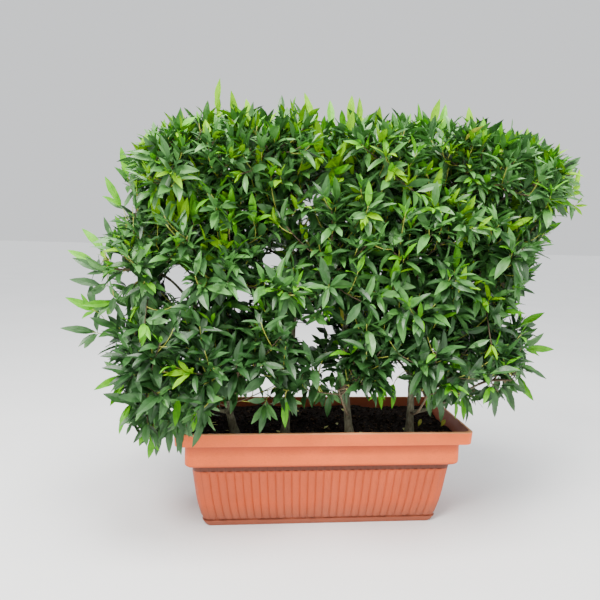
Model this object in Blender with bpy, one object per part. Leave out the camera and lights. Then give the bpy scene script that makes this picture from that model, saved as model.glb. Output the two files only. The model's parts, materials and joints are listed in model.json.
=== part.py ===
"""A leafy hedge shrub of four stems, planted in a ribbed rectangular trough.

Metres, +Z up. X runs along the trough, -Y faces the viewer, and the origin is on
the ground under the middle of the trough. The stems stand in the soil, boughs
carry the outer and upper foliage, and each mass of foliage grows inside its own
cell of the crown.
"""

import math
import random

import bmesh
import bpy
import numpy as np
from mathutils import Vector

# Trough: its size outside, and how far its parts stand in from the rim
RIM_LENGTH = 0.80
RIM_WIDTH = 0.36
TROUGH_HEIGHT = 0.2825
CORNER_RADIUS = 0.020
CORNER_STEPS = 4
RIM_HEIGHT = 0.035
RIM_TOP_WIDTH = 0.009
RIM_EDGE = 0.003
COLLAR_INSET = 0.026
COLLAR_HEIGHT = 0.067
COLLAR_ROUND = 0.008
COLLAR_STEP = 0.002
WALL_INSET = 0.044
WALL_TAPER_X = 0.036
WALL_TAPER_Y = 0.029
WALL_THICKNESS = 0.004
FLOOR_THICKNESS = 0.005
PLINTH_HEIGHT = 0.017
PLINTH_PROUD = 0.003
PLINTH_EDGE = 0.001
RIM_LOW = TROUGH_HEIGHT - RIM_HEIGHT
COLLAR_LOW = RIM_LOW - COLLAR_HEIGHT

# Ribs on the wall. Each rib's outline is given in shares of its pitch and of its depth.
RIBS_LONG = 30
RIBS_SHORT = 11
RIB_DEPTH = 0.0035
RIB_SINK = 0.0002
RIB_LOW_GAP = 0.003
RIB_HIGH_GAP = 0.007
RIB_OUTLINE = ((0.0, 0.0), (0.3, 1.0), (0.7, 1.0))

# Soil: level round each stem, with low waves beyond: their height, turns along x and y, and start
SOIL_TOP = 0.250
SOIL_GAP = 0.0004
SOIL_COLUMNS = 12
SOIL_ROWS = 5
SOIL_WAVES = ((0.0036, 23, 31, 1.0), (0.0022, 47, -29, 0.0))
SOIL_LEVEL_RADIUS = 0.060

# Stems: each foot's x, and how far its middle and its top lean along X
STEM_Y = -0.080
STEM_BENDS = (
    (-0.243, -0.030, -0.055),
    (-0.105, 0.002, 0.028),
    (0.075, -0.018, -0.010),
    (0.248, 0.010, -0.034),
)
STEM_TOP = 0.900
STEM_SWAY = 0.003
STEM_SWAY_TURN = 7
STEM_FLARE_RADIUS = 0.0145
STEM_RADIUS = 0.0098
STEM_TIP_RADIUS = 0.0040
STEM_FLARE_HEIGHT = 0.030
STEM_SIDES = 8
STEM_STEPS = 10
STEM_STEP_GROWTH = 1.35

# Boughs: each rises from a stem's side and ends just inside a cell
BOUGH_RADIUS = 0.0052
BOUGH_TIP_RADIUS = 0.0030
BOUGH_SIDES = 6
BOUGH_STEPS = 5
BOUGH_SLOPE = 0.55
BOUGH_LOWEST = 0.310
BOUGH_SPACING = 0.020
BOUGH_ENTRY = 0.020
BOUGH_AIM_DROP = 0.050
SEAT_SIDEWAYS = 0.30
BOUGH_LEAD = 0.30
BOUGH_BEND = 0.35
BOUGH_UPTURN = 0.25
JOINT_GAP = 0.0003

# Crown: the outline that shows from the front, as x and z on the plane of the stems
OUTLINE = (
    (-0.50, 1.065), (-0.36, 1.130), (-0.30, 1.175), (-0.22, 1.140), (-0.13, 1.170), (0.02, 1.150),
    (0.23, 1.165), (0.40, 1.145), (0.56, 1.105), (0.72, 1.010), (0.66, 0.870), (0.57, 0.700),
    (0.65, 0.530), (0.64, 0.400), (0.54, 0.310), (0.44, 0.255), (0.30, 0.350), (0.02, 0.360),
    (-0.10, 0.255), (-0.45, 0.190), (-0.56, 0.260), (-0.60, 0.400), (-0.71, 0.550), (-0.57, 0.640),
    (-0.67, 0.740), (-0.55, 0.850),
)
CROWN_HALF_DEPTH = 0.275
CROWN_ROUND = 0.150
CROWN_EDGE_HALF_DEPTH = 0.010
# Gaps in the foliage, on the same plane: x, z, half width and half height. They open towards EYE.
EYE = np.array((-0.249, -1.686, 0.803))
GAPS = (
    (0.220, 0.400, 0.020, 0.043),
    (-0.033, 0.529, 0.045, 0.026),
    (-0.408, 0.664, 0.021, 0.034),
    (0.036, 0.392, 0.018, 0.026),
    (-0.566, 0.588, 0.022, 0.028),
    (-0.154, 0.731, 0.019, 0.012),
    (-0.158, 0.389, 0.011, 0.012),
)

# Cells of the masses: each layer's name, its side of the stems, its columns, and its rows' heights
LAYERS = (
    ("front", -1, 5, (("low", 0.430), ("middle", 0.700), ("top", 0.965))),
    ("back", 1, 4, (("low", 0.480), ("middle", 0.760), ("top", 1.000))),
)
LAYER_OFFSET = 0.130
CELL_MARGIN = 0.0015

# The mass's own stem, its twigs and their leaves
SPINE_RADIUS = 0.0036
SPINE_TIP_RADIUS = 0.0026
SPINE_SIDES = 5
SPINE_STEPS = 4
SPINE_LEAD = 0.40
SPINE_REACH = 0.45
TWIGS = 7
TWIG_RADIUS = 0.0024
TWIG_TIP_RADIUS = 0.0018
TWIG_SIDES = 3
TWIG_LENGTHS = (0.040, 0.200)
TWIG_STOPS = (0.030, 0.090)
TWIG_LEANS = (math.radians(25), math.radians(95))
TWIG_STUB = 0.005
SITE_SPACING = 0.015
LEAVES = 20
LEAF_LENGTHS = (0.095, 0.175)
LEAF_LEANS = (math.radians(42), math.radians(85))
LEAF_SWING = math.radians(14)
TIP_LEAF_SHORTEST = 0.070
TIP_LEAF_LEANS = (0, math.radians(17))
LEAF_WIDTH = 0.34
LEAF_THICKNESS = 0.022
LEAF_FOLD = 0.045
LEAF_ARCH = 0.05
LEAF_WIDEST = 0.45
LEAF_ROLL = 0.30
LEAF_FIRST_SAMPLE = 0.05
LEAF_SAMPLES = 11
# How strongly a leaf faces away from the trough's middle, away from the row of stems, and up
FACING = (0.5, 3.0, 0.3)

# Clearances, and how the places of twigs and leaves are chosen
LIMB_CLEARANCE = 0.0025
LEAF_CLEARANCE = 0.007
EDGE_CLEARANCE = 0.004
TROUGH_CLEARANCE = 0.006
LENGTH_WEIGHT = 0.30
FACING_WEIGHT = 0.06
TRIES = 36
WAY_STEP = 0.010
LONGEST_WAY = 0.45
LINE_SAMPLES = 60
SEED = 7

UP = Vector((0, 0, 1))
CIRCLE = 2 * math.pi

for old in list(bpy.data.objects):
    bpy.data.objects.remove(old)


def make_material(name, colour, roughness):
    material = bpy.data.materials.new(name)
    material.use_nodes = True
    shader = material.node_tree.nodes["Principled BSDF"]
    shader.inputs["Base Color"].default_value = (*colour, 1)
    shader.inputs["Roughness"].default_value = roughness
    shader.inputs["Metallic"].default_value = 0
    return material


def add_object(name, points, faces, material=None):
    mesh = bpy.data.meshes.new(name)
    mesh.from_pydata([tuple(point) for point in points], [], faces)
    mesh.update()
    if material:
        mesh.materials.append(material)
    obj = bpy.data.objects.new(name, mesh)
    bpy.context.scene.collection.objects.link(obj)
    return obj


def join_all(base, others, operation, solver="EXACT"):
    """Apply one Boolean of all the other objects to base, and remove them."""
    material = base.data.materials[0]
    collection = bpy.data.collections.new(base.name + "_pieces")
    bpy.context.scene.collection.children.link(collection)
    for other in others:
        collection.objects.link(other)
    modifier = base.modifiers.new("join", "BOOLEAN")
    modifier.operation = operation
    modifier.solver = solver
    modifier.operand_type = "COLLECTION"
    modifier.collection = collection
    graph = bpy.context.evaluated_depsgraph_get()
    base.data = bpy.data.meshes.new_from_object(base.evaluated_get(graph))
    base.modifiers.remove(modifier)
    base.data.materials.clear()
    base.data.materials.append(material)
    for other in others:
        bpy.data.objects.remove(other)
    bpy.data.collections.remove(collection)


def stacked(loops):
    """The points and faces of a solid through equally long loops, lowest first, with flat ends."""
    count = len(loops[0])
    points = [point for loop in loops for point in loop]
    faces = [list(range(count))[::-1]]
    for low in range(0, len(points) - count, count):
        high = low + count
        for i in range(count):
            j = (i + 1) % count
            faces.append([low + i, low + j, high + j, high + i])
    faces.append(list(range(len(points) - count, len(points))))
    return points, faces


def rounded_rectangle(half_x, half_y, z):
    """An anticlockwise loop from the front left corner."""
    loop = []
    for quarter, (side_x, side_y) in enumerate(((-1, -1), (1, -1), (1, 1), (-1, 1))):
        for step in range(CORNER_STEPS + 1):
            angle = math.pi + (quarter + step / CORNER_STEPS) * math.pi / 2
            x = side_x * (half_x - CORNER_RADIUS) + CORNER_RADIUS * math.cos(angle)
            y = side_y * (half_y - CORNER_RADIUS) + CORNER_RADIUS * math.sin(angle)
            loop.append((x, y, z))
    return loop


def inset_loop(inset, z):
    """A loop that stands in from the rim's outer edge."""
    return rounded_rectangle(RIM_LENGTH / 2 - inset, RIM_WIDTH / 2 - inset, z)


def wall_half_sizes(z):
    """Half the length and half the width of the tapered wall at a height."""
    share = 1 - z / COLLAR_LOW
    half_x = RIM_LENGTH / 2 - WALL_INSET - WALL_TAPER_X * share
    half_y = RIM_WIDTH / 2 - WALL_INSET - WALL_TAPER_Y * share
    return half_x, half_y


def wall_loop(proud, z):
    """A loop that stands out from the tapered wall."""
    half_x, half_y = wall_half_sizes(z)
    return rounded_rectangle(half_x + proud, half_y + proud, z)


def ribbed_loop(z):
    """The wall's outline at a height, with the ribs that stand out of its straight sides."""
    half_x, half_y = wall_half_sizes(z)
    sides = (
        (RIBS_LONG, Vector((-half_x, -half_y, z)), Vector((1, 0, 0)), 2 * half_x),
        (RIBS_SHORT, Vector((half_x, -half_y, z)), Vector((0, 1, 0)), 2 * half_y),
        (RIBS_LONG, Vector((half_x, half_y, z)), Vector((-1, 0, 0)), 2 * half_x),
        (RIBS_SHORT, Vector((-half_x, half_y, z)), Vector((0, -1, 0)), 2 * half_y),
    )
    loop = []
    for ribs, corner, along, length in sides:
        outward = along.cross(UP)
        start = corner + along * CORNER_RADIUS - outward * RIB_SINK
        pitch = (length - 2 * CORNER_RADIUS) / ribs
        for rib in range(ribs):
            for place, height in RIB_OUTLINE:
                loop.append(start + along * (rib + place) * pitch + outward * height * RIB_DEPTH)
        loop.append(start + along * ribs * pitch)
    return loop


def cavity_loops(gap):
    """The trough's inner side from the floor up, moved in by a gap."""
    thickness = WALL_THICKNESS + gap
    return (
        wall_loop(-thickness, FLOOR_THICKNESS + gap),
        wall_loop(-thickness, COLLAR_LOW),
        inset_loop(COLLAR_INSET + thickness, COLLAR_LOW + COLLAR_INSET),
        inset_loop(COLLAR_INSET + thickness, RIM_LOW),
        inset_loop(RIM_TOP_WIDTH + gap, TROUGH_HEIGHT),
    )


def make_planter(material):
    """Rim, collar, ribbed tapering wall and plinth, hollowed in one piece."""
    shell = (
        wall_loop(0, 0),
        wall_loop(PLINTH_PROUD, PLINTH_HEIGHT),
        wall_loop(0, PLINTH_HEIGHT + PLINTH_EDGE),
        wall_loop(0, COLLAR_LOW),
        inset_loop(COLLAR_INSET + COLLAR_ROUND, COLLAR_LOW + COLLAR_STEP),
        inset_loop(COLLAR_INSET + COLLAR_STEP, COLLAR_LOW + COLLAR_ROUND),
        inset_loop(COLLAR_INSET, COLLAR_LOW + 2 * COLLAR_ROUND),
        inset_loop(COLLAR_INSET, RIM_LOW),
        inset_loop(COLLAR_STEP, RIM_LOW),
        inset_loop(0, TROUGH_HEIGHT - RIM_EDGE),
        inset_loop(RIM_EDGE, TROUGH_HEIGHT),
    )
    planter = add_object("planter", *stacked(shell), material)
    rib_ends = (PLINTH_HEIGHT + RIB_LOW_GAP, COLLAR_LOW - RIB_HIGH_GAP)
    ribs = add_object("ribs", *stacked([ribbed_loop(z) for z in rib_ends]))
    join_all(planter, [ribs], "UNION")
    cavity = add_object("cavity", *stacked(cavity_loops(0)))
    join_all(planter, [cavity], "DIFFERENCE")


def soil_height(x, y):
    relief = sum(height * math.sin(by_x * x + by_y * y + start) for height, by_x, by_y, start in SOIL_WAVES)
    near = min(math.hypot(x - foot, y - STEM_Y) for foot, _, _ in STEM_BENDS)
    fade = min(max(near / SOIL_LEVEL_RADIUS - 1, 0), 1)
    return SOIL_TOP + fade * relief


def make_soil(material):
    """A block that fills the trough a hair clear of it, cut off along the uneven ground."""
    soil = add_object("soil", *stacked(cavity_loops(SOIL_GAP)), material)
    ground = bmesh.new()
    bmesh.ops.create_grid(ground, x_segments=SOIL_COLUMNS, y_segments=SOIL_ROWS, size=0.5)
    for vert in ground.verts:
        vert.co.x *= RIM_LENGTH
        vert.co.y *= RIM_WIDTH
        vert.co.z = soil_height(vert.co.x, vert.co.y)
    cut = bmesh.ops.extrude_face_region(ground, geom=list(ground.faces))
    for item in cut["geom"]:
        if isinstance(item, bmesh.types.BMVert):
            item.co.z = 2 * TROUGH_HEIGHT
    bmesh.ops.recalc_face_normals(ground, faces=list(ground.faces))
    mesh = bpy.data.meshes.new("above_ground")
    ground.to_mesh(mesh)
    ground.free()
    above = bpy.data.objects.new("above_ground", mesh)
    bpy.context.scene.collection.objects.link(above)
    join_all(soil, [above], "DIFFERENCE")


def bezier(a, b, c, d, share):
    rest = 1 - share
    return a * rest**3 + b * (3 * rest**2 * share) + c * (3 * rest * share**2) + d * share**3


def tube(path, radii, sides, first_normal=None):
    """The points and faces of a closed tube along a path. Its first end may have a given normal."""
    loops = []
    side = None
    for i, (centre, radius) in enumerate(zip(path, radii)):
        tangent = (path[min(i + 1, len(path) - 1)] - path[max(i - 1, 0)]).normalized()
        if i == 0 and first_normal:
            tangent = first_normal.normalized()
        side = side or tangent.orthogonal()
        side = (side - tangent * side.dot(tangent)).normalized()
        other = tangent.cross(side)
        angles = [CIRCLE * k / sides for k in range(sides)]
        loops.append([centre + radius * (math.cos(a) * side + math.sin(a) * other) for a in angles])
    return stacked(loops)


class Limb:
    """A tapering limb: its path, its radius along it and the object made from it."""

    def __init__(self, name, path, radii, sides, material, first_normal):
        self.name = name
        self.path = path
        self.radii = radii
        obj = add_object(name, *tube(path, radii, sides, first_normal), material)
        obj.data.shade_smooth()
        obj.data.set_sharp_from_angle(angle=math.radians(50))

    def at_height(self, z):
        """The centre, the direction and the radius where the limb passes a height."""
        for a, b, radius_a, radius_b in zip(self.path, self.path[1:], self.radii, self.radii[1:]):
            if a.z <= z <= b.z:
                share = (z - a.z) / (b.z - a.z)
                return a.lerp(b, share), (b - a).normalized(), radius_a + (radius_b - radius_a) * share
        return self.path[-1].copy(), (self.path[-1] - self.path[-2]).normalized(), self.radii[-1]

    def seat(self, height, target):
        """A place just off the limb's side towards a target, and its outward direction."""
        centre, along, radius = self.at_height(height)
        way = target - centre
        outward = (way - along * way.dot(along)).normalized()
        return centre + outward * (radius + JOINT_GAP), outward


def make_stems(material):
    """Whole stems, from a flat cut on the soil to their tips."""
    stems = []
    foot_z = SOIL_TOP + JOINT_GAP
    height = STEM_TOP - foot_z
    for number, (foot, middle_lean, top_lean) in enumerate(STEM_BENDS, 1):
        path = []
        radii = []
        for step in range(STEM_STEPS + 1):
            share = (step / STEM_STEPS) ** STEM_STEP_GROWTH
            lean = 4 * share * (1 - share) * middle_lean + share * top_lean
            sway = STEM_SWAY * share * math.sin(STEM_SWAY_TURN * share + number)
            path.append(Vector((foot + lean, STEM_Y + sway, foot_z + share * height)))
            flare = (STEM_FLARE_RADIUS - STEM_RADIUS) * math.exp(-share * height / STEM_FLARE_HEIGHT)
            radii.append(STEM_RADIUS + (STEM_TIP_RADIUS - STEM_RADIUS) * share + flare)
        stems.append(Limb(f"stem_{number}", path, radii, STEM_SIDES, material, UP))
    return stems


def make_bough(name, stem, height, centre, end, material):
    """A limb from a stem's side to where it enters its cell."""
    start, outward = stem.seat(height, centre)
    way = (centre - stem.at_height(height)[0]).normalized()
    reach = (end - start).length
    lead = start + (outward + UP * BOUGH_UPTURN) * reach * BOUGH_LEAD
    bend = end - (way + UP * BOUGH_UPTURN).normalized() * reach * BOUGH_BEND
    shares = [step / BOUGH_STEPS for step in range(BOUGH_STEPS + 1)]
    path = [bezier(start, lead, bend, end, share) for share in shares]
    radii = [BOUGH_RADIUS + (BOUGH_TIP_RADIUS - BOUGH_RADIUS) * share for share in shares]
    return Limb(name, path, radii, BOUGH_SIDES, material, outward)


def outline_sides():
    return zip(OUTLINE, OUTLINE[1:] + OUTLINE[:1])


def inside_outline(x, z):
    inside = np.zeros(len(x), bool)
    for (x0, z0), (x1, z1) in outline_sides():
        crosses = (z0 > z) != (z1 > z)
        if crosses.any():
            inside ^= crosses & (x < x0 + (z - z0) * (x1 - x0) / (z1 - z0))
    return inside


def outline_distance(x, z):
    nearest = np.full(len(x), np.inf)
    for (x0, z0), (x1, z1) in outline_sides():
        dx, dz = x1 - x0, z1 - z0
        share = np.clip(((x - x0) * dx + (z - z0) * dz) / (dx * dx + dz * dz), 0, 1)
        nearest = np.minimum(nearest, np.hypot(x - x0 - share * dx, z - z0 - share * dz))
    return nearest


def in_crown(points):
    """Which points lie in the crown, in none of its gaps and clear of the trough."""
    x, y, z = points.T
    seen = EYE + (points - EYE) * ((STEM_Y - EYE[1]) / (y - EYE[1]))[:, None]
    inside = inside_outline(x, z) & inside_outline(seen[:, 0], seen[:, 2])
    roundness = 1 - np.minimum(outline_distance(x, z) / CROWN_ROUND, 1)
    half_depth = CROWN_HALF_DEPTH * np.sqrt(1 - roundness**2) + CROWN_EDGE_HALF_DEPTH
    inside &= np.abs(y - STEM_Y) < half_depth
    for gap_x, gap_z, half_width, half_height in GAPS:
        inside &= ((seen[:, 0] - gap_x) / half_width) ** 2 + ((seen[:, 2] - gap_z) / half_height) ** 2 > 1
    near_x = np.abs(x) < RIM_LENGTH / 2 + TROUGH_CLEARANCE
    near_y = np.abs(y) < RIM_WIDTH / 2 + TROUGH_CLEARANCE
    return inside & ~(near_x & near_y & (z < TROUGH_HEIGHT + TROUGH_CLEARANCE))


def cell_centres():
    """The name and the centre of each mass's cell: its row, its layer and its place from the left."""
    cells = []
    across = np.arange(-1, 1, WAY_STEP / 2)
    for layer, side, columns, rows in LAYERS:
        for row, height in rows:
            inside = across[inside_outline(across, np.full(len(across), height))]
            left, right = inside.min(), inside.max()
            for column in range(columns):
                x = left + (column + 0.5) / columns * (right - left)
                centre = Vector((x, STEM_Y + side * LAYER_OFFSET, height))
                cells.append((f"{row}_{layer}_{column + 1}", centre))
    return cells


def in_cell(points, centre, centres):
    """Which points are nearer to this centre than to any other, by a margin."""
    inside = np.ones(len(points), bool)
    for other in centres:
        apart = np.array(other - centre)
        distance = np.linalg.norm(apart)
        if distance > 0:
            inside &= (points - np.array(centre + other) / 2) @ (apart / distance) < -CELL_MARGIN
    return inside


def limb_segments(limbs):
    """The starts, the ends and the radii of every limb's straight stretches, as arrays."""
    starts = [point for limb in limbs for point in limb.path[:-1]]
    ends = [point for limb in limbs for point in limb.path[1:]]
    radii = [radius for limb in limbs for radius in limb.radii[:-1]]
    return np.array(starts), np.array(ends), np.array(radii)


def clear_of(points, segments, clearance):
    """Whether all points keep a clearance to the limbs."""
    starts, ends, radii = segments
    along = ends - starts
    share = ((points[:, None] - starts) * along).sum(axis=2) / (along * along).sum(axis=1)
    nearest = starts + np.clip(share, 0, 1)[..., None] * along
    return bool((np.linalg.norm(points[:, None] - nearest, axis=2) > radii + clearance).all())


def turned(axis, side, turn, lean):
    """A direction that leans away from axis, turned round it from side."""
    around = math.cos(turn) * side + math.sin(turn) * axis.cross(side)
    return (axis * math.cos(lean) + around * math.sin(lean)).normalized()


def leaf_shape(root, direction, face, length):
    """Six points and eight faces: a blade folded along its midrib, where it is thickest."""
    across = direction.cross(face).normalized()
    face = across.cross(direction)
    middle = root + direction * (LEAF_WIDEST * length) + face * (LEAF_ARCH * length)
    half_width = across * (LEAF_WIDTH * length / 2)
    fold = face * (LEAF_FOLD * length)
    half_thickness = face * (LEAF_THICKNESS * length / 2)
    points = [
        root,
        root + direction * length,
        middle + half_width + fold,
        middle - half_width + fold,
        middle + half_thickness,
        middle - half_thickness,
    ]
    faces = []
    for left, right in ((2, 4), (4, 3), (3, 5), (5, 2)):
        faces += [(0, left, right), (1, right, left)]
    return points, faces


def leaf_samples(points):
    """Points spread over a leaf, to test it against what surrounds it."""
    root, tip, left, right, top, _ = (np.array(point) for point in points)
    across = (left, (left + top) / 2, top, (right + top) / 2, right)
    samples = []
    for share in np.linspace(LEAF_FIRST_SAMPLE, 1, LEAF_SAMPLES):
        if share < LEAF_WIDEST:
            end, way = root, share / LEAF_WIDEST
        else:
            end, way = tip, (1 - share) / (1 - LEAF_WIDEST)
        samples += [end + (corner - end) * way for corner in across]
    return np.array(samples)


class Twig:
    """A straight twig. It reaches as far as its outermost leaf."""

    def __init__(self, root, tip):
        self.root = root
        self.axis = (tip - root).normalized()
        self.side = self.axis.orthogonal().normalized()
        self.length = (tip - root).length
        self.reach = 0

    def sites(self):
        """Places where a leaf can sit on one of the twig's flat sides."""
        found = []
        for step in range(1, int(self.length / SITE_SPACING)):
            place = step * SITE_SPACING
            for face in range(TWIG_SIDES):
                flat = turned(self.axis, self.side, (face + 0.5) * CIRCLE / TWIG_SIDES, math.pi / 2)
                found.append((self, place, flat))
        return found

    def shape(self):
        end = self.root + self.axis * min(self.reach + TWIG_STUB, self.length)
        return tube([self.root, end], [TWIG_RADIUS, TWIG_TIP_RADIUS], TWIG_SIDES)


class Mass:
    """One mass of foliage: it grows a stem, twigs and leaves inside its own cell."""

    def __init__(self, name, centre, centres, segments, middles, seed):
        self.name = name
        self.centre = centre
        self.centres = centres
        self.segments = segments
        self.middles = middles
        self.random = random.Random(seed)
        self.twigs = []
        self.sites = []
        self.tips = []
        self.leaves = []
        self.leaf_points = []

    def holds(self, points):
        return in_crown(points) & in_cell(points, self.centre, self.centres)

    def way_out(self, point, direction):
        """How far a line runs from a point before it leaves the mass's space."""
        distances = np.arange(WAY_STEP / 2, LONGEST_WAY, WAY_STEP)
        outside = ~self.holds(np.array(point) + distances[:, None] * np.array(direction))
        return distances[np.argmax(outside)] if outside.any() else LONGEST_WAY

    def outward(self, point):
        """The way that a leaf at this point faces."""
        sideways, away, upward = FACING
        return Vector((self.centre.x * sideways, (point.y - STEM_Y) * away, upward)).normalized()

    def leaf_fits(self, samples):
        if not self.holds(samples).all() or not clear_of(samples, self.segments, LIMB_CLEARANCE):
            return False
        return all(
            np.linalg.norm(samples[:, None] - other, axis=2).min() > LEAF_CLEARANCE
            for other in self.leaf_points
        )

    def grow_spine(self, start, heading):
        """The mass's own stem, through the cell's middle towards its far side."""
        way = self.centre - start
        aim = way.normalized()
        end = self.centre + aim * self.way_out(self.centre, aim) * SPINE_REACH
        lead = start + heading * way.length * SPINE_LEAD
        shares = [step / SPINE_STEPS for step in range(SPINE_STEPS + 1)]
        self.spine = [bezier(start, lead, self.centre, end, share) for share in shares]
        radii = [SPINE_RADIUS + (SPINE_TIP_RADIUS - SPINE_RADIUS) * share for share in shares]
        self.spine_shape = tube(self.spine, radii, SPINE_SIDES, heading)
        self.tips.append(end)
        self.grow_tip_leaf(Twig(self.spine[-2], end))

    def grow_twig(self):
        """One twig off the spine, of many tries the one whose tip is farthest from other tips."""
        best = None
        for _ in range(TRIES):
            place = self.random.uniform(1, SPINE_STEPS)
            step = min(int(place), SPINE_STEPS - 1)
            root = self.spine[step].lerp(self.spine[step + 1], place - step)
            axis = (self.spine[step + 1] - self.spine[step]).normalized()
            turn = self.random.uniform(0, CIRCLE)
            lean = self.random.uniform(*TWIG_LEANS)
            direction = turned(axis, axis.orthogonal().normalized(), turn, lean)
            stop = self.random.uniform(*TWIG_STOPS)
            length = min(self.way_out(root, direction) - stop, TWIG_LENGTHS[1])
            if length < TWIG_LENGTHS[0]:
                continue
            tip = root + direction * length
            line = np.array([root.lerp(tip, share) for share in np.linspace(0, 1, LINE_SAMPLES)])
            if not clear_of(line, self.segments, LIMB_CLEARANCE + TWIG_RADIUS):
                continue
            free = min((tip - other).length for other in self.tips)
            if best is None or free > best[0]:
                best = (free, root, tip)
        if best:
            _, root, tip = best
            twig = Twig(root, tip)
            self.twigs.append(twig)
            self.tips.append(tip)
            self.sites += twig.sites()
            self.grow_tip_leaf(twig)

    def grow_tip_leaf(self, twig):
        site = (twig, twig.length - TWIG_STUB, twig.side)
        self.grow_leaf([site], TIP_LEAF_LEANS, CIRCLE / 2, TIP_LEAF_SHORTEST)

    def grow_leaf(self, sites, leans, swing, shortest):
        """One leaf on one of the sites, of many tries the one farthest from other leaves."""
        best = None
        for _ in range(TRIES):
            twig, place, flat = self.random.choice(sites)
            root = twig.root + twig.axis * place
            turn = self.random.uniform(-swing, swing)
            direction = turned(twig.axis, flat, turn, self.random.uniform(*leans))
            length = min(self.way_out(root, direction) - EDGE_CLEARANCE, LEAF_LENGTHS[1])
            if length < shortest:
                continue
            outward = self.outward(root)
            roll = Vector([self.random.uniform(-LEAF_ROLL, LEAF_ROLL) for _ in range(3)])
            shape = leaf_shape(root, direction, outward + roll, length)
            samples = leaf_samples(shape[0])
            if not self.leaf_fits(samples):
                continue
            middle = samples.mean(axis=0)
            free = min((np.linalg.norm(middle - other) for other in self.middles), default=0)
            free += LENGTH_WEIGHT * length - FACING_WEIGHT * abs(direction.dot(outward))
            if best is None or free > best[0]:
                best = (free, shape, samples, middle, twig, place)
        if best is None:
            return False
        _, shape, samples, middle, twig, place = best
        twig.reach = max(twig.reach, place)
        self.leaves.append(shape)
        self.leaf_points.append(samples)
        self.middles.append(middle)
        self.sites = [site for site in self.sites if site[:2] != (twig, place)]
        return True

    def grow(self, start, heading):
        self.grow_spine(start, heading)
        for _ in range(TWIGS):
            self.grow_twig()
        growing = True
        while growing and self.sites and len(self.leaves) < LEAVES:
            growing = self.grow_leaf(self.sites, LEAF_LEANS, LEAF_SWING, LEAF_LENGTHS[0])

    def make(self, material):
        """The mass's object, with every piece joined in one Boolean union."""
        twigs = [twig.shape() for twig in self.twigs if twig.reach]
        base = add_object(self.name, *self.spine_shape, material)
        others = [add_object("piece", *shape) for shape in twigs + self.leaves]
        join_all(base, others, "UNION", "MANIFOLD")
        keep_main_shell(base.data)


def shells_of(model):
    """The connected groups of faces of a bmesh."""
    left = set(model.faces)
    while left:
        border = [left.pop()]
        shell = set(border)
        while border:
            near = {face for edge in border.pop().edges for face in edge.link_faces} & left
            left -= near
            shell |= near
            border += near
        yield shell


def shell_volume(shell):
    volume = 0
    for face in shell:
        first, *rest = (vert.co for vert in face.verts)
        volume += sum(first.dot(a.cross(b)) for a, b in zip(rest, rest[1:])) / 6
    return volume


def keep_main_shell(mesh):
    """Drop loose scraps and fill sealed hollows: only the largest outer shell stays."""
    model = bmesh.new()
    model.from_mesh(mesh)
    shells = list(shells_of(model))
    largest = max(shells, key=shell_volume)
    unwanted = [face for shell in shells if shell is not largest for face in shell]
    bmesh.ops.delete(model, geom=unwanted, context="FACES")
    model.to_mesh(mesh)
    model.free()


def direct_seat(stem, centre, centres):
    """The lowest place on a stem's side that lies in the cell, with its direction, or None."""
    for height in np.arange(BOUGH_LOWEST, min(centre.z, STEM_TOP - BOUGH_SPACING), WAY_STEP):
        foot = stem.at_height(height)[0]
        target = foot + Vector(((centre.x - foot.x) * SEAT_SIDEWAYS, centre.y - foot.y, 0))
        start, outward = stem.seat(height, target)
        near = np.array([start, start + outward * SPINE_RADIUS, start - UP * WAY_STEP])
        if in_cell(near, centre, centres).all():
            return start, outward
    return None


def cell_entry(stem, centre, centres):
    """Where a straight way from a stem to a cell's centre has just entered the cell."""
    foot = stem.at_height(min(centre.z, STEM_TOP) - BOUGH_AIM_DROP)[0]
    line = np.array([foot.lerp(centre, share) for share in np.linspace(0, 1, LINE_SAMPLES)])
    first = Vector(line[np.argmax(in_cell(line, centre, centres))])
    return first + (centre - foot).normalized() * BOUGH_ENTRY


def plan_masses(stems, material):
    """Make the boughs. Returns them, and every mass's name, centre, start and heading."""
    cells = cell_centres()
    centres = [centre for _, centre in cells]
    boughs = []
    plans = []
    wanted = []
    free_from = {}
    for name, centre in cells:
        stem = min(stems, key=lambda each: abs(each.at_height(centre.z)[0].x - centre.x))
        seat = direct_seat(stem, centre, centres)
        if seat:
            plans.append((name, centre, *seat))
            continue
        end = cell_entry(stem, centre, centres)
        run = math.hypot(end.x - stem.path[0].x, end.y - stem.path[0].y)
        height = max(end.z - BOUGH_SLOPE * run, BOUGH_LOWEST)
        wanted.append((height, name, stem, centre, end))
    for height, name, stem, centre, end in sorted(wanted, key=lambda plan: plan[:2]):
        height = max(height, free_from.get(stem.name, 0))
        free_from[stem.name] = height + BOUGH_SPACING
        bough = make_bough(f"bough_{name}", stem, height, centre, end, material)
        boughs.append(bough)
        heading = (bough.path[-1] - bough.path[-2]).normalized()
        plans.append((name, centre, end + heading * JOINT_GAP, heading))
    return boughs, plans


def make_plant(bark, leaf):
    """Stems and boughs first, then every mass between them."""
    stems = make_stems(bark)
    boughs, plans = plan_masses(stems, bark)
    segments = limb_segments(stems + boughs)
    centres = [centre for _, centre, _, _ in plans]
    middles = []
    for seed, (name, centre, start, heading) in enumerate(plans, SEED):
        mass = Mass(f"foliage_{name}", centre, centres, segments, middles, seed)
        mass.grow(start, heading)
        mass.make(leaf)


def main():
    make_planter(make_material("terracotta_plastic", (0.62, 0.20, 0.10), 0.55))
    make_soil(make_material("potting_soil", (0.020, 0.013, 0.010), 0.95))
    bark = make_material("bark", (0.16, 0.12, 0.085), 0.9)
    leaf = make_material("leaf", (0.055, 0.19, 0.035), 0.45)
    make_plant(bark, leaf)


main()
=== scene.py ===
import json
import math
import random

import bpy
import numpy as np
from mathutils import Matrix, Vector, noise

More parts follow.
